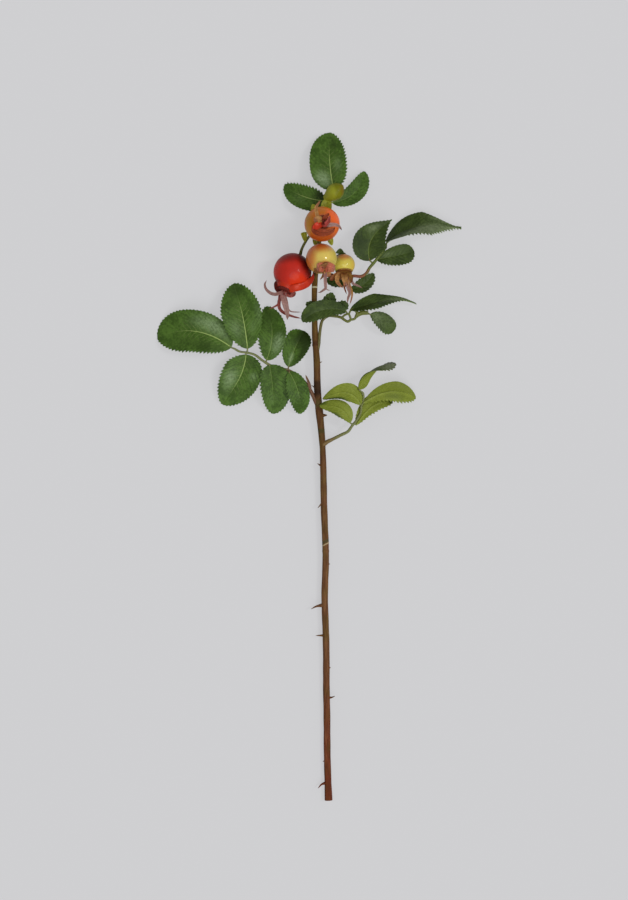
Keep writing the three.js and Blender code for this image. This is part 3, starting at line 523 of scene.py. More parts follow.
# Of each hip: its skin, its collar and where along it that begins, then patches: each a colour, the
# way it faces, and how squarely the skin has to face that way for none and for all of it. Then its
# gloss, where that differs.
HIP_COLOURS = {
    "red": (
        (190, 42, 30), (176, 44, 20), (0.7, 0.8),
        (
            # Partly the red hip's own colour and partly painted light: its top darker and its lower side
            # brighter as if lit from below, and painted shade at its lower left and upper right limbs,
            # the latter a painted shadow of the yellow hip.
            ((128, 26, 20), (-0.1, 0.95, 0.2), 0.45, 0.95),
            ((204, 46, 8), (0.3, -0.66, 0.66), 0.74, 0.98),
            ((96, 22, 16), (-0.75, -0.65, 0.1), 0.82, 0.97), ((84, 12, 8), (0.88, 0.4, 0.25), 0.55, 0.9),
        ),
        0.1,
    ),
    "orange": (
        (220, 104, 32), (170, 72, 22), (0.8, 0.9),
        (
            ((176, 118, 26), (-0.95, 0, 0.3), 0.5, 0.9), ((172, 74, 16), (0, -0.95, 0.3), 0.55, 0.92),
            ((198, 112, 30), (-0.2, 0.9, 0.4), 0.6, 0.92),
            ((236, 100, 40), (0.75, 0.45, 0.45), 0.7, 0.95),
            ((204, 98, 56), (-0.98, -0.05, 0.05), 0.9, 1.0),
        ),
    ),
    "yellow": (
        (214, 188, 90), (184, 128, 62), (0.78, 0.88),
        (
            ((190, 108, 46), (-0.95, 0.1, 0.2), 0.35, 0.85), ((198, 178, 76), (0.95, 0, 0.2), 0.6, 0.95),
            ((196, 102, 44), (-0.1, 0.95, 0.3), 0.5, 0.95),
        ),
        0.5,
    ),
    "small": (
        (208, 192, 80), (150, 112, 44), (0.84, 0.93),
        (((196, 130, 62), (0, 0.9, 0.35), 0.6, 0.95), ((206, 176, 66), (0.95, 0, 0.2), 0.6, 0.95)), 0.5,
    ),
}
# The bud has no collar, so its colour there begins past the end.
BUD_COLOURS = (
    (112, 114, 12), (138, 140, 44), (2, 3),
    (((140, 144, 38), (-0.9, -0.2, 0.3), 0.2, 0.8), ((110, 96, 12), (0.9, 0.1, 0.3), 0.45, 0.95)), 0.04,
)
# Of each calyx's own sepals, and of its disc and its dark sepals: at the foot, the middle and the tip.
SEPAL_COLOURS = {
    "red": ((126, 50, 44), (156, 76, 66), (152, 84, 74)),
    "orange": ((128, 40, 30), (178, 66, 58), (162, 84, 76)),
    "yellow": ((196, 98, 70), (204, 112, 84), (176, 118, 96)),
    "small": ((126, 66, 26), (162, 96, 44), (130, 70, 50)),
}
DISC_COLOURS = {
    "red": ((104, 26, 20), (112, 30, 22), (112, 40, 30)),
    "orange": ((96, 30, 16), (152, 64, 32), (156, 74, 40)),
    "yellow": ((130, 76, 34), (146, 98, 50), (150, 104, 62)),
    "small": ((158, 118, 54), (150, 104, 44), (120, 60, 28)),
}

# ---------------- Curves and surfaces ----------------


def unit(vectors):
    return vectors / np.linalg.norm(vectors, axis=-1, keepdims=True)


def smooth(low, high, x):
    t = np.clip((x - low) / (high - low), 0, 1)
    return t * t * (3 - 2 * t)


def read_along(pairs, share):
    shares, values = zip(*pairs)
    return np.interp(share, shares, values)


def wave(cycles, share, phase=0):
    """A sine that runs through so many whole cycles as share goes from 0 to 1."""
    return np.sin(2 * math.pi * (cycles * share + phase))


def turns(sides):
    """The angles of that many points evenly round a ring."""
    return np.linspace(0, 2 * math.pi, sides, endpoint=False)


def follow(points, count):
    """count points evenly along a centripetal Catmull-Rom curve, and the curve's directions there."""
    p = np.array(points, float)
    p = np.vstack([2 * p[0] - p[1], p, 2 * p[-1] - p[-2]])
    gaps = np.sqrt(np.linalg.norm(np.diff(p, axis=0), axis=1))
    t = np.linspace(0, 1, STEPS_BETWEEN, endpoint=False)[:, None]
    runs = []
    for i in range(1, len(p) - 2):
        before, gap, after = gaps[i - 1 : i + 2]
        chord = (p[i + 1] - p[i]) / gap
        leave = (p[i] - p[i - 1]) / before - (p[i + 1] - p[i - 1]) / (before + gap) + chord
        arrive = chord - (p[i + 2] - p[i]) / (gap + after) + (p[i + 2] - p[i + 1]) / after
        leave, arrive = leave * gap, arrive * gap
        bend = 2 * (p[i] - p[i + 1]) + leave + arrive
        lift = 3 * (p[i + 1] - p[i]) - 2 * leave - arrive
        runs.append(((bend * t + lift) * t + leave) * t + p[i])
    fine = np.vstack([*runs, p[-2:-1]])
    reach = np.append(0, np.cumsum(np.linalg.norm(np.diff(fine, axis=0), axis=1)))
    even = np.linspace(0, reach[-1], count)
    line = np.column_stack([np.interp(even, reach, fine[:, k]) for k in range(3)])
    return line, unit(np.gradient(line, axis=0))


def carried_normals(directions):
    """A normal at each point of a curve, carried along it without twisting."""
    start = np.cross(directions[0], UP)
    if np.linalg.norm(start) < NEARLY_UPRIGHT:
        start = np.cross(directions[0], SIDEWAYS)
    normals = [unit(start)]
    for direction in directions[1:]:
        normals.append(unit(normals[-1] - direction * direction.dot(normals[-1])))
    return np.array(normals)


def bulge(u, full, widest=0.5, point=ROUNDED_END):
    """Half a blade's width at u, as a share of its greatest half width."""
    base = (1 - np.clip(1 - u / widest, 0, 1) ** full[0]) ** ROUNDED_END
    tip = (1 - np.clip((u - widest) / (1 - widest), 0, 1) ** full[1]) ** point
    return np.where(u < widest, base, tip)


def blade_frame(u, base, tip, bow, roll=0, twist=0, sweep=0, skew=0, **_):
    """The midrib's points at each row of u, and the blade's sideways and outward directions there."""
    base = np.array(base, float)
    length = np.array(tip, float) - base
    along = unit(length)
    square = unit(UP - along * along[2])
    turn = -np.radians(roll + twist * (u - 0.5))
    face = square * np.cos(turn) + np.cross(along, square) * np.sin(turn)
    right = np.cross(along, face)
    arch = 4 * u * (1 - u)
    slope = 4 * (1 - 2 * u)
    skewed = 1 + skew * (2 * u - 1)
    midrib = base + length * u + face * bow * arch + right * sweep * arch * skewed
    sideways = right * sweep * (slope * skewed + 2 * skew * arch)
    direction = unit(length + face * bow * slope + sideways)
    across = unit(right - direction * (direction * right).sum(1, keepdims=True))
    return midrib, across, np.cross(across, direction)


def grid_normals(points):
    """Unit normals of a grid of points, on the side from which v runs to the right of u."""
    return unit(np.cross(np.gradient(points, axis=1), np.gradient(points, axis=0)))


def pairs_over(shape, pair):
    """Two values, each spread over a grid of that shape, as one list of pairs."""
    return np.stack([np.broadcast_to(value, shape) for value in pair], -1).reshape(-1, 2)


def write_uv(mesh, name, pairs):
    """A uv map with a pair for each of the mesh's points."""
    corner = np.zeros(len(mesh.loops), np.int32)
    mesh.loops.foreach_get("vertex_index", corner)
    layer = mesh.uv_layers.new(name=name)
    layer.data.foreach_set("uv", pairs[corner].astype(np.float32).ravel())


class Surface:
    """Gathers grids of points, in mm, into one mesh. Each point has a uv pair."""

    def __init__(self):
        self.points, self.uv, self.faces, self.slots = [], [], [], []
        self.count = 0

    def add_points(self, points, uv):
        self.points.append(points)
        self.uv.append(uv)
        self.count += len(points)
        return np.arange(self.count - len(points), self.count)

    def add_faces(self, faces, slot):
        self.faces += faces.tolist()
        self.slots += [slot] * len(faces)

    def grid(self, points, uv, slot, closed=False, flip=False):
        """Faces over a grid. A closed grid's last column joins its first."""
        shape = points.shape[:2]
        index = self.add_points(points.reshape(-1, 3), pairs_over(shape, uv)).reshape(shape)
        if closed:
            index = np.column_stack([index, index[:, 0]])
        corners = [index[:-1, :-1], index[:-1, 1:], index[1:, 1:], index[1:, :-1]]
        self.add_faces(np.stack(corners[::-1] if flip else corners, -1).reshape(-1, 4), slot)
        return index

    def stitch(self, first, second, slot):
        """Faces between two rows of points that are there already."""
        self.add_faces(np.stack([first[:-1], second[:-1], second[1:], first[1:]], -1), slot)

    def cap(self, ring, slot, flip):
        """Closes a ring of points with a fan round its middle."""
        middle = np.vstack(self.points)[ring].mean(0)
        hub = self.add_points(middle[None], np.zeros((1, 2)))[0]
        next_round = np.roll(ring, -1)
        pair = (next_round, ring) if flip else (ring, next_round)
        self.add_faces(np.stack([*pair, np.full(len(ring), hub)], -1), slot)

    def shell(self, points, uv, slot=0, flip=False, start_slot=None):
        """A grid closed all round and over both its ends. start_slot is for the end it starts from."""
        index = self.grid(points, uv, slot, closed=True, flip=flip)
        self.cap(index[0, :-1], slot if start_slot is None else start_slot, not flip)
        self.cap(index[-1, :-1], slot, flip)

    def mesh(self, name, materials):
        mesh = bpy.data.meshes.new(name)
        mesh.from_pydata((np.vstack(self.points) * MM).tolist(), [], self.faces)
        write_uv(mesh, "blade", np.vstack(self.uv))
        mesh.polygons.foreach_set("material_index", np.array(self.slots, np.int32))
        for material in materials:
            mesh.materials.append(material)
        mesh.shade_smooth()
        mesh.set_sharp_from_angle(angle=math.radians(SHARP_FROM))
        mesh.validate()
        made = bpy.data.objects.new(name, mesh)
        bpy.context.scene.collection.objects.link(made)
        return made


def piece(surface, name, node, materials):
    """A finished piece that stands for a CAD node."""
    made = surface.mesh(name, materials)
    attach(made, "root")
    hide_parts(node)
    return made


def add_tube(surface, points, radii, sides, steps, relief=None, slant=0, **slots):
    """A round stem along a curve. slant sets the top of its first ring back, for an oblique cut."""
    line, directions = follow(points, steps + 1)
    normals = carried_normals(directions)
    binormals = np.cross(directions, normals)
    share = np.linspace(0, 1, steps + 1)[:, None]
    turn = turns(sides)
    radius = read_along(radii, share) + (0 if relief is None else relief(share, turn))
    ring = normals[:, None] * np.cos(turn)[:, None] + binormals[:, None] * np.sin(turn)[:, None]
    grid = line[:, None] + ring * np.broadcast_to(radius, (steps + 1, sides))[..., None]
    if slant:
        grid[0] += directions[0] * (slant * smooth(-1, 1, ring[0, :, 2]))[:, None]
    surface.shell(grid, (share, 0), **slots)


# ---------------- Materials ----------------


def linear(rgb):
    """A colour given as screen values from 0 to 255, as the shader's own linear values."""
    shares = [c / 255 for c in rgb]
    return (*(c / 12.92 if c <= 0.04045 else ((c + 0.055) / 1.055) ** 2.4 for c in shares), 1)


def darker(share, rgb):
    return tuple(share * c for c in rgb)


def feed(socket, value):
    """Links a socket to another node's output, or sets its value."""
    if isinstance(value, bpy.types.NodeSocket):
        socket.id_data.links.new(value, socket)
    else:
        socket.default_value = value


def add_node(tree, kind, inputs=(), **settings):
    made = tree.nodes.new(kind)
    for key, value in settings.items():
        setattr(made, key, value)
    for key, value in dict(inputs).items():
        feed(made.inputs[key], value)
    return made


class Paint:
    """A procedural material, built a node at a time on a Principled BSDF."""

    def __init__(self, name, roughness=0.5, specular=0.4, **uniform):
        self.material = bpy.data.materials.new(name)
        self.material.use_nodes = True
        self.tree = self.material.node_tree
        self.shader = self.tree.nodes["Principled BSDF"]
        self.shader.inputs["Roughness"].default_value = roughness
        self.shader.inputs["Specular IOR Level"].default_value = specular
        for socket, value in uniform.items():
            self.shader.inputs[socket.replace("_", " ").title()].default_value = value
        self.place = self.node("ShaderNodeTexCoord").outputs["Object"]
        self.colour = None

    def node(self, kind, inputs=(), **settings):
        return add_node(self.tree, kind, inputs, **settings)

    def math(self, operation, a, b=0.0):
        return self.node("ShaderNodeMath", {0: a, 1: b}, operation=operation).outputs[0]

    def plus(self, a, b):
        return self.math("ADD", a, b)

    def times(self, product, *factors):
        for factor in factors:
            product = self.math("MULTIPLY", product, factor)
        return product

    def fade(self, value, low, high, start=0.0, end=1.0):
        """A smooth step of value, from start at low to end at high."""
        inputs = {"Value": value, "From Min": low, "From Max": high, "To Min": start, "To Max": end}
        made = self.node("ShaderNodeMapRange", inputs, interpolation_type="SMOOTHSTEP")
        return made.outputs["Result"]

    def mix(self, factor, a, b):
        """From colour a at factor 0 to colour b at factor 1."""
        a, b = (c if isinstance(c, bpy.types.NodeSocket) else linear(c) for c in (a, b))
        return self.node("ShaderNodeMix", {"Factor": factor, 6: a, 7: b}, data_type="RGBA").outputs[2]

    def cover(self, where, colour):
        """Another colour over the paint's own, as far as where is 1."""
        self.colour = self.mix(where, self.colour, colour)

    def noise(self, scale, detail=3, stretch=None, distortion=0.0):
        place = self.place
        if stretch:
            place = self.node("ShaderNodeMapping", {"Vector": place, "Scale": stretch}).outputs[0]
        inputs = {"Vector": place, "Scale": scale, "Detail": detail, "Distortion": distortion}
        return self.node("ShaderNodeTexNoise", inputs).outputs["Fac"]

    def drift(self, scale, reach, detail=3):
        """Noise that wanders to either side of 0."""
        return self.times(self.math("SUBTRACT", self.noise(scale, detail), 0.5), reach)

    def cells(self, scale):
        """Distance to the edge of the nearest cell, for a fine network."""
        inputs = {"Vector": self.place, "Scale": scale}
        made = self.node("ShaderNodeTexVoronoi", inputs, feature="DISTANCE_TO_EDGE")
        return made.outputs["Distance"]

    def axes(self, source):
        return self.node("ShaderNodeSeparateXYZ", {"Vector": source}).outputs

    def uv(self, name):
        """The two values that a uv map holds."""
        return self.axes(self.node("ShaderNodeUVMap", uv_map=name).outputs["UV"])[:2]

    def blade(self):
        """The share of a blade's length, and the distance from its midrib in mm."""
        along, across = self.uv("blade")
        offset = self.times(self.math("SUBTRACT", across, 0.5), 1 / UV_PER_MM)
        return along, self.math("ABSOLUTE", offset)

    def bump(self, height, strength, distance):
        inputs = {"Height": height, "Strength": strength, "Distance": distance}
        feed(self.shader.inputs["Normal"], self.node("ShaderNodeBump", inputs).outputs["Normal"])

    def finish(self, roughness=None):
        feed(self.shader.inputs["Base Color"], self.colour)
        if roughness is not None:
            feed(self.shader.inputs["Roughness"], roughness)
        return self.material


def leaf_paint(name, painted_shade, dark, light, painted_sheen, rib, gloss=0.16, crease_shading=1):
    """Leaf skin: mottled, with painted shade in the creases along its side veins, and painted shade and
    painted sheen in patches.
    """
    paint = Paint(name, specular=gloss)
    along, distance = paint.blade()
    phase, out = paint.uv("veins")
    tone, rib_share = paint.uv("tone")
    off_vein = paint.math("PINGPONG", paint.plus(phase, paint.drift(260, 0.5, detail=2)), 0.5)
    grain = paint.noise(560, 4, distortion=0.9)
    blotches = paint.plus(paint.noise(95, 4, distortion=0.6), grain)
    paint.colour = paint.mix(paint.fade(blotches, 0.8, 1.2), dark, light)
    # Painted shade in the creases along the side veins, broken up and fading towards the tip.
    broken = paint.fade(paint.noise(150, 2), 0.4, 0.6, 0.25, 0.75)
    broken = paint.times(broken, paint.fade(along, 0.6, 0.85, 1.0, 0.1))
    crease_shade = paint.times(paint.fade(off_vein, 0.0, 0.17, crease_shading, 0.0), broken)
    paint.cover(crease_shade, painted_shade)
    # Painted shade where the blade's tone is below 0.
    paint.cover(paint.fade(tone, 0.0, -1.0), painted_shade)
    # Painted sheen where the tone is above 0, broken by the grain and kept out of the shaded creases.
    bare = paint.math("SUBTRACT", 1.0, paint.times(crease_shade, 0.6))
    broken_sheen = paint.times(paint.fade(grain, 0.34, 0.6, 0.5, 1.0), bare)
    paint.cover(paint.times(paint.fade(tone, 0.0, 1.0), broken_sheen), painted_sheen)
    near_rib = paint.times(paint.fade(out, 0.1, 0.7, 0.5, 0.0), rib_share)
    near_rib = paint.times(near_rib, paint.fade(along, 0.6, 0.82, 1.0, 0.0))
    side_vein = paint.times(paint.fade(off_vein, 0.01, 0.07, 1.0, 0.0), near_rib)
    paint.cover(side_vein, rib)
    rib_width = paint.fade(along, 0.0, 0.8, 0.5, 0.16)
    on_rib = paint.fade(paint.math("DIVIDE", distance, rib_width), 0.4, 1.1, 1.0, 0.0)
    on_rib = paint.times(on_rib, paint.fade(along, 0.45, 0.82, 1.0, 0.1))
    paint.cover(paint.times(on_rib, rib_share), rib)
    paint.bump(paint.noise(1400), 0.12, 0.0004)
    return paint.finish(paint.fade(paint.noise(180), 0.25, 0.75, 0.4, 0.55))


def bark_paint():
    """Reddish at the cut end, brown along the middle, olive near the leaves, streaked lengthwise."""
    paint = Paint("bark", specular=0.12)
    x, y, _ = paint.axes(paint.place)
    streaks = paint.noise(900, 5, stretch=(1, 0.09, 1), distortion=0.4)
    patches = paint.noise(60)
    lower = paint.mix(paint.fade(y, -0.24, -0.12), (108, 50, 26), (112, 76, 46))
    upper = paint.mix(paint.fade(y, 0.05, 0.16), (96, 66, 36), (98, 74, 24))
    paint.colour = paint.mix(paint.fade(y, -0.03, 0.03), lower, upper)
    olive = paint.times(paint.fade(patches, 0.45, 0.7), 0.4)
    paint.cover(olive, (92, 84, 34))
    paint.cover(paint.fade(streaks, 0.38, 0.62, 0.5, 0.0), (62, 30, 16))
    paint.cover(paint.fade(streaks, 0.6, 0.78, 0.0, 0.4), (154, 112, 74))
    # Marks round the stem, the two dark ones at 57 and 61 mm painted shadow.
    for middle, reach, slant, shade in BARK_MARKS_AND_SHADOWS:
        slanted = paint.math("SUBTRACT", y, paint.times(x, slant))
        off = paint.math("ABSOLUTE", paint.math("SUBTRACT", slanted, middle * MM))
        paint.cover(paint.fade(off, reach * MM, 0.3 * reach * MM), shade)
    paint.bump(streaks, 0.5, 0.0004)
    return paint.finish(paint.fade(patches, 0.3, 0.7, 0.6, 0.8))


def cut_wood_paint():
    paint = Paint("cut_wood", roughness=0.8, specular=0.2)
    paint.colour = paint.mix(paint.noise(1600), (214, 196, 160), (240, 228, 204))
    return paint.finish()


def stalk_paint(name, near, far, start, end):
    """A leaf stalk that turns from its colour near the stem to its colour at the leaflets."""
    paint = Paint(name, roughness=0.5, specular=0.3)
    blush = paint.fade(paint.noise(220), 0.3, 0.7, -0.003, 0.003)
    share = paint.fade(paint.plus(paint.axes(paint.place)[0], blush), start * MM, end * MM)
    paint.colour = paint.mix(share, near, far)
    paint.cover(paint.fade(paint.noise(900), 0.5, 0.75, 0.0, 0.35), (70, 62, 34))
    paint.bump(paint.noise(1500), 0.2, 0.0003)
    return paint.finish()


def hip_paint(name, centre, skin, collar, blush, patches, gloss=0.3):
    """Fruit skin: patches, each a colour on the side it faces, and another colour at the collar."""
    paint = Paint(name, specular=0.12, coat_weight=gloss, coat_roughness=0.08)
    inputs = {0: paint.place, 1: tuple(MM * c for c in centre)}
    from_centre = paint.node("ShaderNodeVectorMath", inputs, operation="SUBTRACT").outputs[0]
    outward = paint.node("ShaderNodeVectorMath", {0: from_centre}, operation="NORMALIZE").outputs[0]
    drift = paint.drift(130, 0.22)
    paint.colour = paint.mix(paint.fade(paint.noise(90), 0.3, 0.7), skin, darker(0.93, skin))
    # Patches by the way the skin faces; on the red hip they are partly painted light and shade.
    for patch, facing, start, end in patches:
        inputs = {0: outward, 1: tuple(Vector(facing).normalized())}
        dot = paint.node("ShaderNodeVectorMath", inputs, operation="DOT_PRODUCT").outputs["Value"]
        paint.cover(paint.fade(paint.plus(dot, drift), start, end), patch)
    along = paint.plus(paint.uv("blade")[0], paint.times(drift, 0.2))
    paint.cover(paint.fade(along, *blush), collar)
    specks = paint.fade(paint.cells(1100), 0.0, 0.06, 0.12, 0.0)
    paint.cover(specks, darker(0.6, skin))
    paint.bump(paint.noise(500), 0.05, 0.0005)
    return paint.finish(paint.fade(paint.noise(200), 0.3, 0.7, 0.4, 0.5))


def sepal_paint(name, foot, middle, tip):
    """A dried sepal, from its foot to its tip, with darker streaks along it."""
    paint = Paint(name, specular=0.2)
    along, distance = paint.blade()
    share = paint.plus(along, paint.drift(330, 0.5))
    paint.colour = paint.mix(paint.fade(share, 0.12, 0.5), foot, middle)
    paint.cover(paint.fade(share, 0.55, 0.95), tip)
    streak = paint.fade(paint.noise(900, 4, distortion=1.0), 0.45, 0.7, 0.5, 0.0)
    paint.cover(streak, darker(0.6, middle))
    paint.cover(paint.fade(distance, 0.1, 0.5, 0.35, 0.0), darker(0.7, foot))
    paint.bump(paint.noise(1300, 4), 0.35, 0.0003)
    return paint.finish(paint.fade(paint.noise(400, 2), 0.3, 0.7, 0.5, 0.75))


def plain_paint(name, dark, light, scale, roughness):
    paint = Paint(name, roughness=roughness, specular=0.25)
    paint.colour = paint.mix(paint.fade(paint.noise(scale, 4), 0.3, 0.7), dark, light)
    paint.bump(paint.noise(1200), 0.25, 0.0003)
    return paint.finish()


# ---------------- Pieces ----------------


def add_sheet(surface, middle, normals, uv, thick, rib, slots=(0, 1)):
    """A thin closed sheet about a grid of points. rib is added to its lower side."""
    top = surface.grid(middle + normals * (thick / 2)[..., None], uv, slots[0])
    lower = middle - normals * (thick / 2 + rib)[..., None]
    bottom = surface.grid(lower, uv, slots[1], flip=True)
    surface.stitch(bottom[:, 0], top[:, 0], slots[1])
    surface.stitch(top[:, -1], bottom[:, -1], slots[1])
    surface.stitch(top[0], bottom[0], slots[1])
    surface.stitch(bottom[-1], top[-1], slots[1])


def teeth(margin, depth, start, rng):
    """How far a margin stands out along itself: teeth that rise towards the tip and drop back."""
    run = np.append(0, np.cumsum(np.linalg.norm(np.diff(margin, axis=0), axis=1)))
    count = max(5, round(run[-1] / TOOTH_PITCH))
    share = run / run[-1]
    tooth = np.minimum((share * count).astype(int), count - 1)
    rise = share * count - tooth
    fall = np.sqrt(np.clip((1 - rise) / (1 - TOOTH_PEAK), 0, 1))
    reach = np.minimum(rise / TOOTH_PEAK, fall) - TOOTH_LEVEL
    fade = smooth(start, start + 0.1, share) * (1 - 0.4 * smooth(0.94, 1, share))
    return depth * rng.uniform(*TOOTH_SPREAD, count)[tooth] * reach * fade


def toothed(middle, across, v, depths, start, rng):
    """A blade's grid with its left and right margins drawn out into teeth, level rather than down."""
    for column, sign, depth in ((0, -1, depths[0]), (-1, 1, depths[1])):
        margin = middle[:, column]
        forward = unit(np.gradient(margin, axis=0))
        out = sign * across[:, 0]
        out = unit((out - forward * (out * forward).sum(1, keepdims=True)) * LEVELLED)
        push = (out + TOOTH_HOOK * forward) * teeth(margin, depth, start, rng)[:, None]
        middle = middle + push[:, None] * smooth(0.9, 1, sign * v)[None, :, None]
    return middle


def blade_relief(u, v, x, length, quilt, rng):
    """How far a blade swells, how far its ribs stand out below, and its place among its side veins."""
    side = np.abs(v)
    pairs = max(4, round(length / VEIN_PITCH))
    phase = pairs * (u - VEIN_LEAN * side - VEIN_CURVE * side**2)
    valley = np.abs(np.sin(math.pi * phase)) ** 0.8
    rim = smooth(0.02, 0.2, side) * (1 - 0.7 * smooth(0.8, 1, side))
    even = smooth(0, 0.08, u) * (1 - smooth(0.62, 0.85, u))
    height = quilt * QUILT * (valley - 0.6) * rim * even
    height = height - MIDRIB_DEPTH * np.exp(-((x / 0.55) ** 2)) * (1 - u) ** 0.4
    ripple = wave(1.4, u, rng.uniform(0, 1, 2)[(v > 0).astype(int)])
    height = height + RIPPLE * length * ripple * side**2 * smooth(0, 0.2, u)
    rib = MIDRIB_RIB * np.exp(-((x / 0.6) ** 2)) * (1 - u) ** 0.7
    return height, rib + VEIN_RIB * (1 - valley) ** 2 * rim, phase


def leaf_grid(name, shape, has_teeth=True):
    """A blade's middle surface, its normals, its uv maps, its thickness and its ribs."""
    rng = np.random.default_rng(sum(map(ord, name)))
    look = BLADES.get(name, {})
    length = np.linalg.norm(np.subtract(shape["tip"], shape["base"]))
    share = np.linspace(0, 1, max(FEWEST_ROWS, round(ROWS_PER_MM * length)) + 1)[:, None]
    u = share - CLOSER_AT_ENDS * wave(1, share)
    v = np.array([-x for x in reversed(ACROSS)] + [0, *ACROSS])
    midrib, across, out = (a[:, None] for a in blade_frame(u, **shape))
    outline = {key: shape[key] for key in ("widest", "full", "point") if key in shape}
    end = np.where(u < 0.5, LEAF_END_HALF_WIDTH, TAILS.get(name, TIP_HALF_WIDTH))
    spread = shape["width"] / 2 * bulge(u, **outline) * (1 + shape.get("lean", 0) * v)
    x = v * np.maximum(end, spread)
    fold = math.radians(shape["fold"])
    middle = midrib + across * (x * math.cos(fold))[..., None]
    middle = middle + out * (np.abs(x) * math.sin(fold))[..., None]
    normals = grid_normals(middle)
    if has_teeth:
        depth = TOOTH_DEPTH * np.clip(length / FULL_TOOTH_LENGTH, SHALLOWEST, 1)
        depths = [depth * times for times in look.get("teeth", (1, 1))]
        middle = toothed(middle, across, v, depths, look.get("teeth_from", TEETH_FROM), rng)
    height, ribs, phase = blade_relief(u, v, x, length, look.get("quilt", 1), rng)
    middle = middle + normals * height[..., None]
    middle[..., 2] = np.maximum(middle[..., 2], LOWEST_BLADE)
    thick = LEAF_THICKNESS + (MARGIN_THICKNESS - LEAF_THICKNESS) * np.abs(v) ** 3
    uv = (u, x * UV_PER_MM + 0.5)
    maps = {"blade": uv, "veins": (phase, np.abs(v)), "tone": blade_tone(name, u, v)}
    return middle, normals, maps, thick, ribs


def blade_tone(name, u, v):
    """How far each point of a blade is lightened by painted sheen and darkened by painted shade, and how
    far its midrib shows.
    """
    blade = BLADES.get(name, {})
    tone = 0 * u * v
    for along, across, reach, width, amount in blade.get("patches", ()):
        tone += amount * np.exp(-(((u - along) / reach) ** 2 + ((v - across) / width) ** 2))
    return tone, blade.get("rib", RIBS[LOOKS.get(name[:4], "dark")])


def add_maps(made, maps):
    """The further uv maps of a sheet: each point's place among the side veins, and its tone of painted
    sheen and shade.
    """
    for name in ("veins", "tone"):
        one_side = pairs_over(maps[name][0].shape, maps[name])
        pairs = np.zeros((len(made.data.vertices), 2))
        pairs[: 2 * len(one_side)] = np.vstack([one_side, one_side])
        write_uv(made.data, name, pairs)


def nearest_on(shape, point):
    """The nearest point of a leaf stalk and its branches."""
    runs = [shape["path"], *(branch["path"] for branch in shape.get("branches", ()))]
    points = np.vstack([follow(run, STALK_SAMPLES)[0] for run in runs])
    return points[np.argmin(np.linalg.norm(points - point, axis=1))]


def make_leaflet(name, shape, stalk, skins, stalk_skin):
    surface = Surface()
    middle, normals, maps, thick, ribs = leaf_grid(name, shape)
    add_sheet(surface, middle, normals, maps["blade"], thick, ribs)
    half = middle.shape[1] // 2
    row = len(middle) // 10
    start = middle[0, half]
    inner = middle[row, half] - normals[row, half] * JOIN_DEPTH
    root = nearest_on(stalk, start)
    path = [root, (root + start) / 2, start, inner]
    add_tube(surface, path, LEAFLET_STALK, sides=10, steps=14, slot=2)
    add_maps(piece(surface, f"leaf_{name}", f"leaflet_{name}", [*skins, stalk_skin]), maps)


def make_bract(name, shape, skin):
    surface = Surface()
    middle, normals, maps, thick, ribs = leaf_grid(name, shape, has_teeth=False)
    add_sheet(surface, middle, normals, maps["blade"], thick, ribs * BRACT_RIBS)
    add_maps(piece(surface, f"scale_{name}", f"bract_{name}", [skin, skin]), maps)


def bark_relief(share, turn):
    """Low lengthwise ridges that wander round the stem, and rings where leaves have dropped."""
    y = share * STEM_LENGTH
    ridges = 0.06 * np.sin(3 * turn + y / 19) + 0.05 * np.sin(5 * turn - y / 31 + 1)
    ridges = ridges + 0.03 * np.sin(9 * turn + y / 7 + np.sin(y / 3))
    lumps = 0.09 * np.sin(y / 8.3) * np.sin(turn + y / 40) + 0.05 * np.sin(y / 3.1 + 2 * turn)
    rings = sum(height * np.exp(-(((share - at) / SCAR_WIDTH) ** 2)) for at, height in LEAF_SCARS)
    return ridges + lumps + rings


def make_stem(bark, wood):
    surface = Surface()
    add_tube(surface, STEM_PATH, STEM_RADII, 36, 620, bark_relief, slant=CUT_SLANT, start_slot=1)
    for foot, tip, radius, hook in PRICKLES:
        foot, tip = np.array(foot, float), np.array(tip, float)
        middle = foot + (tip - foot) * PRICKLE_BEND + [0, hook, 0]
        flare = [(share, radius * times) for share, times in PRICKLE_FLARE]
        flare.append((1, PRICKLE_POINT))
        add_tube(surface, [foot, middle, tip], flare, sides=12, steps=14)
    piece(surface, "stem", "main_stem", [bark, wood])


def stalk_relief(share, turn):
    return 0.05 * np.sin(3 * turn + share * 9) + 0.04 * np.sin(share * 60)


def make_stalk(name, shape, skin):
    foot, end = shape["radii"]
    taper = ((0, foot), (0.16, foot + (end - foot) * 0.55), (1, end))
    surface = Surface()
    add_tube(surface, shape["path"], taper, 16, 160, stalk_relief)
    for branch in shape.get("branches", ()):
        add_tube(surface, branch["path"], [(0, branch["radius"])], sides=12, steps=30)
    if "stipule" in shape:
        add_ribbon(surface, **shape["stipule"])
    piece(surface, f"stalk_{name}", f"leaf_stalk_{name}", [skin])


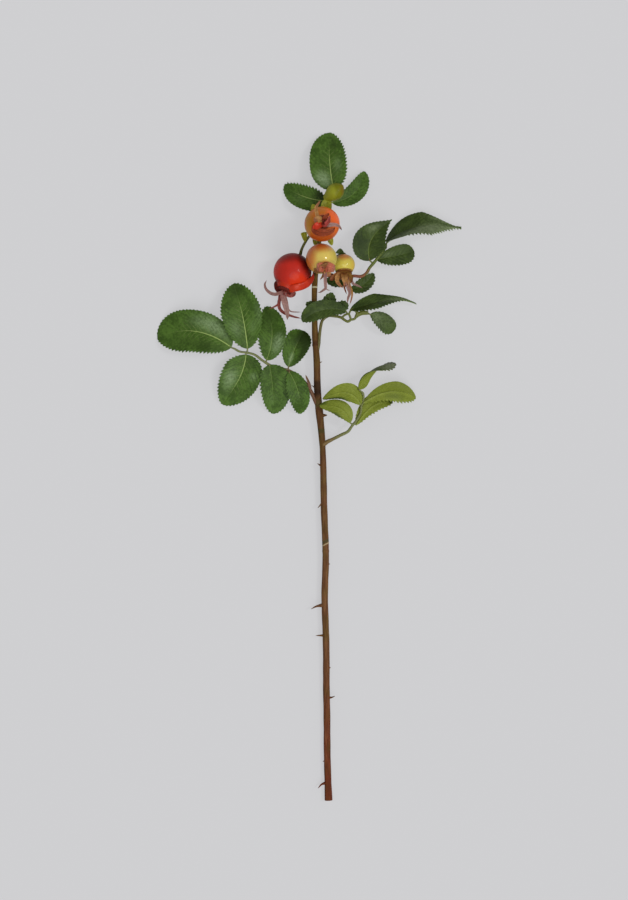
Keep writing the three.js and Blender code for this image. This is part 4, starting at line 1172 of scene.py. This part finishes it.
def add_ribbon(surface, path, width, seed=0, lobe=False, slot=0):
    """A sepal: a trough along a curve, open upwards. It tapers, or as a lobe has a round end."""
    rng = np.random.default_rng(seed)
    line, directions = follow(path, RIBBON_ROWS)
    t = np.linspace(0, 1, len(line))[:, None]
    side = np.cross(directions, UP)
    upright = np.linalg.norm(side, axis=1, keepdims=True) < 0.1
    side = unit(np.where(upright, SIDEWAYS, side))
    out = np.cross(side, directions)
    v = np.linspace(-0.5, 0.5, RIBBON_COLUMNS)
    tapered = 0.25 + 0.75 * np.sin(math.pi * np.minimum(1, 0.3 + 0.7 * t)) ** 0.8
    taper = 1 - 0.6 * t**4 if lobe else tapered
    taper = taper * (1 - 0.75 * smooth(0.9, 1, t))
    curl = (2 * np.abs(v)) ** 2 * width * (0.12 + 0.1 * np.sin(7 * t + rng.uniform(0, 6)))
    ruffle = RUFFLE * width * np.sin(23 * t + rng.uniform(0, 6)) * (2 * v) ** 3
    across = v * width * taper
    middle = line[:, None] + side[:, None] * across[..., None]
    middle = middle + out[:, None] * (curl + ruffle)[..., None]
    uv = (t, across * UV_PER_MM + 0.5)
    thick = (SEPAL_THICKNESS - SEPAL_THINNING * np.abs(2 * v) ** 2) * (1 - 0.4 * t)
    rib = SEPAL_RIB * np.exp(-((v * 12) ** 2))
    add_sheet(surface, middle, out[:, None], uv, thick, rib, (slot, slot))


def add_wrap(surface, path, width, centre, slot):
    """A fleshy sepal that hugs its hip: a smooth flattened tube that narrows to both ends."""
    line, directions = follow(path, WRAP_ROWS)
    t = np.linspace(0, 1, len(line))[:, None]
    face = unit(unit(line - centre) + UP)
    side = unit(np.cross(directions, face))
    out = np.cross(side, directions)
    swell = np.maximum(0.05, np.minimum(1, np.sin(math.pi * (0.12 + 0.88 * t)) ** 0.6 * 1.15))
    turn = turns(WRAP_SIDES)
    wide = side[:, None] * (width / 2 * swell * np.cos(turn))[..., None]
    thick = out[:, None] * (WRAP_THICKNESS / 2 * swell * np.sin(turn))[..., None]
    surface.shell(line[:, None] + wide + thick, (t, 0.5), slot, flip=True)


def hip_outline(neck, height):
    """Radius and height from the foot round to the collar, as shares of the hip's radius."""
    shoulder = math.acos(neck + COLLAR_SHOULDER)
    angle = np.linspace(-math.pi / 2, shoulder, 60)
    round_part = np.column_stack([np.cos(angle), np.sin(angle)])
    round_part[:, 1] += FOOT_HOLLOW * np.exp(-((round_part[:, 0] / 0.16) ** 2)) * (angle < 0)
    t = np.linspace(0, 1, 12)[1:, None]
    corner = np.array([neck + COLLAR_SHOULDER / 4, (math.sin(shoulder) + height) / 2])
    collar = np.array([neck, height])
    rise = (1 - t) ** 2 * round_part[-1] + 2 * t * (1 - t) * corner + t**2 * collar
    flat = np.column_stack([neck * (1 - t[:, 0]), height + 0 * t[:, 0]])
    outline = np.vstack([round_part, rise, flat])
    outline[0, 0] = outline[-1, 0] = PINHOLE
    return outline


def make_hip(name, hip, skin):
    outline = hip_outline(*hip["collar"]) * hip["radius"]
    turn = turns(HIP_SIDES)
    lumps = 1 + 0.006 * np.sin(2 * turn + 1) + 0.005 * np.sin(5 * turn)
    ring = outline[:, :1] * lumps
    grid = np.stack([ring * np.cos(turn), ring * np.sin(turn), outline[:, 1:] + 0 * turn], -1)
    to_axis = Vector(UP).rotation_difference(Vector(hip["axis"])).to_matrix()
    grid = grid @ np.array(to_axis).T + hip["centre"]
    grid[..., 2] = np.maximum(grid[..., 2], 0)
    surface = Surface()
    surface.shell(grid, (np.linspace(0, 1, len(outline))[:, None], 0.5))
    piece(surface, f"fruit_{name}", f"hip_{name}", [skin])


def make_bud(skin):
    foot, head = np.array(BUD["foot"], float), np.array(BUD["head"], float)
    end = head + unit(head - foot) * BUD["radius"]
    share = np.linspace(0, 1, 61)
    swell = np.sin(math.pi * np.minimum(1, 0.12 + 0.88 * share**1.35)) ** 0.72
    radii = [*zip(share, BUD["radius"] * np.maximum(0.06, swell))]
    surface = Surface()
    add_tube(surface, [foot, head, end], radii, sides=48, steps=60)
    piece(surface, "fruit_bud", "hip_bud", [skin])


def make_calyx(name, hip, sepals, skins):
    """The collar's disc, its sepals, and the dry stamens inside it."""
    axis = unit(np.array(hip["axis"], float))
    centre = np.array(hip["centre"], float)
    neck, height = hip["collar"]
    foot = centre + axis * ((hip["radius"] + GAP) * height - CALYX_SUNK)
    top = foot + axis * (CALYX_HEIGHT + CALYX_SUNK)
    surface = Surface()
    radius = hip["radius"] * neck * DISC_RADIUS
    flare = [(share, radius * times) for share, times in DISC_FLARE]

    def lobes(_, turn):
        return radius * (0.06 * np.sin(5 * turn) + 0.02 * np.sin(11 * turn + 3))

    add_tube(surface, [foot, (foot + top) / 2, top], flare, 40, 8, lobes, slot=DARK)
    start = foot + axis * (CALYX_SUNK + CALYX_HEIGHT / 2)
    for number, part in enumerate(sepals):
        path, width, skin = [start, *part["path"]], part["width"], part["skin"]
        if part.get("hugs"):
            add_wrap(surface, path, width, centre, skin)
        else:
            add_ribbon(surface, path, width, number, part.get("lobe", False), skin)
    add_stamens(surface, top, axis, radius * STAMEN_SPREAD, name)
    piece(surface, f"sepals_{name}", f"calyx_{name}", skins)


def add_stamens(surface, top, axis, radius, name):
    rng = random.Random(name)
    side = unit(np.cross(axis, [0.3, 1, 0.2]))
    other = np.cross(axis, side)
    for _ in range(STAMENS):
        turn = rng.uniform(0, 2 * math.pi)
        reach = radius * math.sqrt(rng.random())
        outward = side * math.cos(turn) + other * math.sin(turn)
        foot = top + outward * reach - axis * STAMEN_ROOT
        lean = outward * rng.uniform(0.1, 0.9) + other * rng.uniform(-0.3, 0.3)
        tip = foot + axis * rng.uniform(*STAMEN_LENGTH) + lean
        path = [foot, (foot + tip) / 2 + outward * 0.15, tip]
        add_tube(surface, path, STAMEN_RADII, sides=5, steps=4)


def make_pedicel(name, shape, skin):
    surface = Surface()
    flare = [(share, shape["radius"] * times) for share, times in PEDICEL_FLARE]
    path = [np.array(p, float) for p in shape["path"]]
    beyond = path[-1] + unit(path[-1] - path[-2]) * PEDICEL_OVERRUN
    add_tube(surface, [*path, beyond], flare, sides=16, steps=60)
    piece(surface, f"hip_stalk_{name}", f"pedicel_{name}", [skin])


# ---------------- The studio ----------------
BACKDROP = (208, 208, 210)
FLOOR_SIZE = 12  # metres
FLOOR_GLOW = 0.75  # how much of the floor's tone doesn't depend on the light
SKY_STRENGTH = 0.4
CAMERA_AT = (3.525, 12.6, 1603.75)  # mm
CAMERA_LENS = 85
CAMERA_SENSOR = 36


def make_floor():
    """A pale floor that keeps the shadow, faint, and shows as one even tone."""
    bpy.ops.mesh.primitive_plane_add(size=FLOOR_SIZE)
    floor = bpy.context.object
    floor.name = "floor"
    paint = Paint("floor", roughness=1, specular=0, base_color=linear(BACKDROP))
    rays = paint.node("ShaderNodeLightPath").outputs
    seen = paint.math("MAXIMUM", rays["Is Camera Ray"], rays["Is Glossy Ray"])
    glow = paint.node("ShaderNodeEmission", {"Color": linear(BACKDROP)})
    inputs = {0: paint.times(seen, FLOOR_GLOW), 1: paint.shader.outputs[0], 2: glow.outputs[0]}
    blend = paint.node("ShaderNodeMixShader", inputs)
    feed(paint.tree.nodes["Material Output"].inputs["Surface"], blend.outputs[0])
    floor.data.materials.append(paint.material)


def make_world():
    """A white sky for light, which the camera sees in the backdrop's tone."""
    world = bpy.data.worlds.new("studio")
    bpy.context.scene.world = world
    world.use_nodes = True
    tree = world.node_tree
    sky = tree.nodes["Background"]
    sky.inputs["Color"].default_value = (1, 1, 1, 1)
    sky.inputs["Strength"].default_value = SKY_STRENGTH
    seen = add_node(tree, "ShaderNodeBackground", {"Color": linear(BACKDROP)})
    rays = add_node(tree, "ShaderNodeLightPath")
    inputs = {0: rays.outputs["Is Camera Ray"], 1: sky.outputs[0], 2: seen.outputs[0]}
    blend = add_node(tree, "ShaderNodeMixShader", inputs)
    feed(tree.nodes["World Output"].inputs["Surface"], blend.outputs[0])


def make_lamp(name, towards, strength, softness):
    """A distant soft lamp that shines from the direction given."""
    lamp = bpy.data.lights.new(name, "SUN")
    lamp.energy = strength
    lamp.angle = math.radians(softness)
    made = bpy.data.objects.new(name, lamp)
    made.rotation_mode = "QUATERNION"
    made.rotation_quaternion = Vector(towards).to_track_quat("Z", "Y")
    bpy.context.scene.collection.objects.link(made)


def make_camera():
    """Straight above the sprig, far enough away for a nearly flat view."""
    camera = bpy.data.cameras.new("camera")
    camera.lens = CAMERA_LENS
    camera.sensor_width = CAMERA_SENSOR
    made = bpy.data.objects.new("camera", camera)
    made.location = Vector(CAMERA_AT) * MM
    bpy.context.scene.collection.objects.link(made)
    bpy.context.scene.camera = made


# ---------------- The sprig ----------------
make_camera()
make_floor()
make_world()
make_lamp("key", towards=(0.57, 0.12, 0.8), strength=0.8, softness=12)
make_lamp("broad", towards=(0.16, -0.5, 0.84), strength=1.35, softness=50)

make_stem(bark_paint(), cut_wood_paint())
stalk_skins = {name: stalk_paint(f"stalk_{name}", *look) for name, look in STALK_COLOURS.items()}
for name, shape in STALKS.items():
    make_stalk(name, shape, stalk_skins[name])

leaf_skins = {name: leaf_paint(name, *look) for name, look in LEAF_COLOURS.items()}
for name, shape in LEAFLETS.items():
    look, stalk = LOOKS[name[:4]], STALK_OF[name[:4]]
    skins = [leaf_skins[skin] for skin in LEAF_SIDES[look]]
    make_leaflet(name, shape, STALKS[stalk], skins, stalk_skins[stalk])

fleshy_skin = plain_paint("fleshy_sepal", (176, 40, 20), (204, 58, 22), 120, 0.36)
mauve_skin = sepal_paint("sepal_mauve", (146, 94, 86), (170, 132, 124), (152, 116, 106))
tan_skin = sepal_paint("sepal_tan", (146, 88, 38), (190, 138, 80), (164, 104, 80))
for name, hip in HIPS.items():
    make_hip(name, hip, hip_paint(f"skin_{name}", hip["centre"], *HIP_COLOURS[name]))
    own_skin = sepal_paint(f"sepal_{name}", *SEPAL_COLOURS[name])
    dark_skin = sepal_paint(f"calyx_disc_{name}", *DISC_COLOURS[name])
    make_calyx(name, hip, SEPALS[name], [own_skin, dark_skin, fleshy_skin, mauve_skin, tan_skin])

make_bud(hip_paint("skin_bud", BUD["head"], *BUD_COLOURS))
olive_stalk = plain_paint("hip_stalk", (78, 78, 26), (104, 104, 38), 260, 0.5)
lime_stalk = plain_paint("hip_stalk_lime", (136, 136, 36), (154, 154, 52), 260, 0.5)
for name, shape in PEDICELS.items():
    make_pedicel(name, shape, lime_stalk if name == "bud" else olive_stalk)
for name, shape in BRACTS.items():
    make_bract(name, shape, leaf_skins["leaf_dark" if name == "small" else "bract"])

bpy.context.scene.view_settings.view_transform = "Standard"
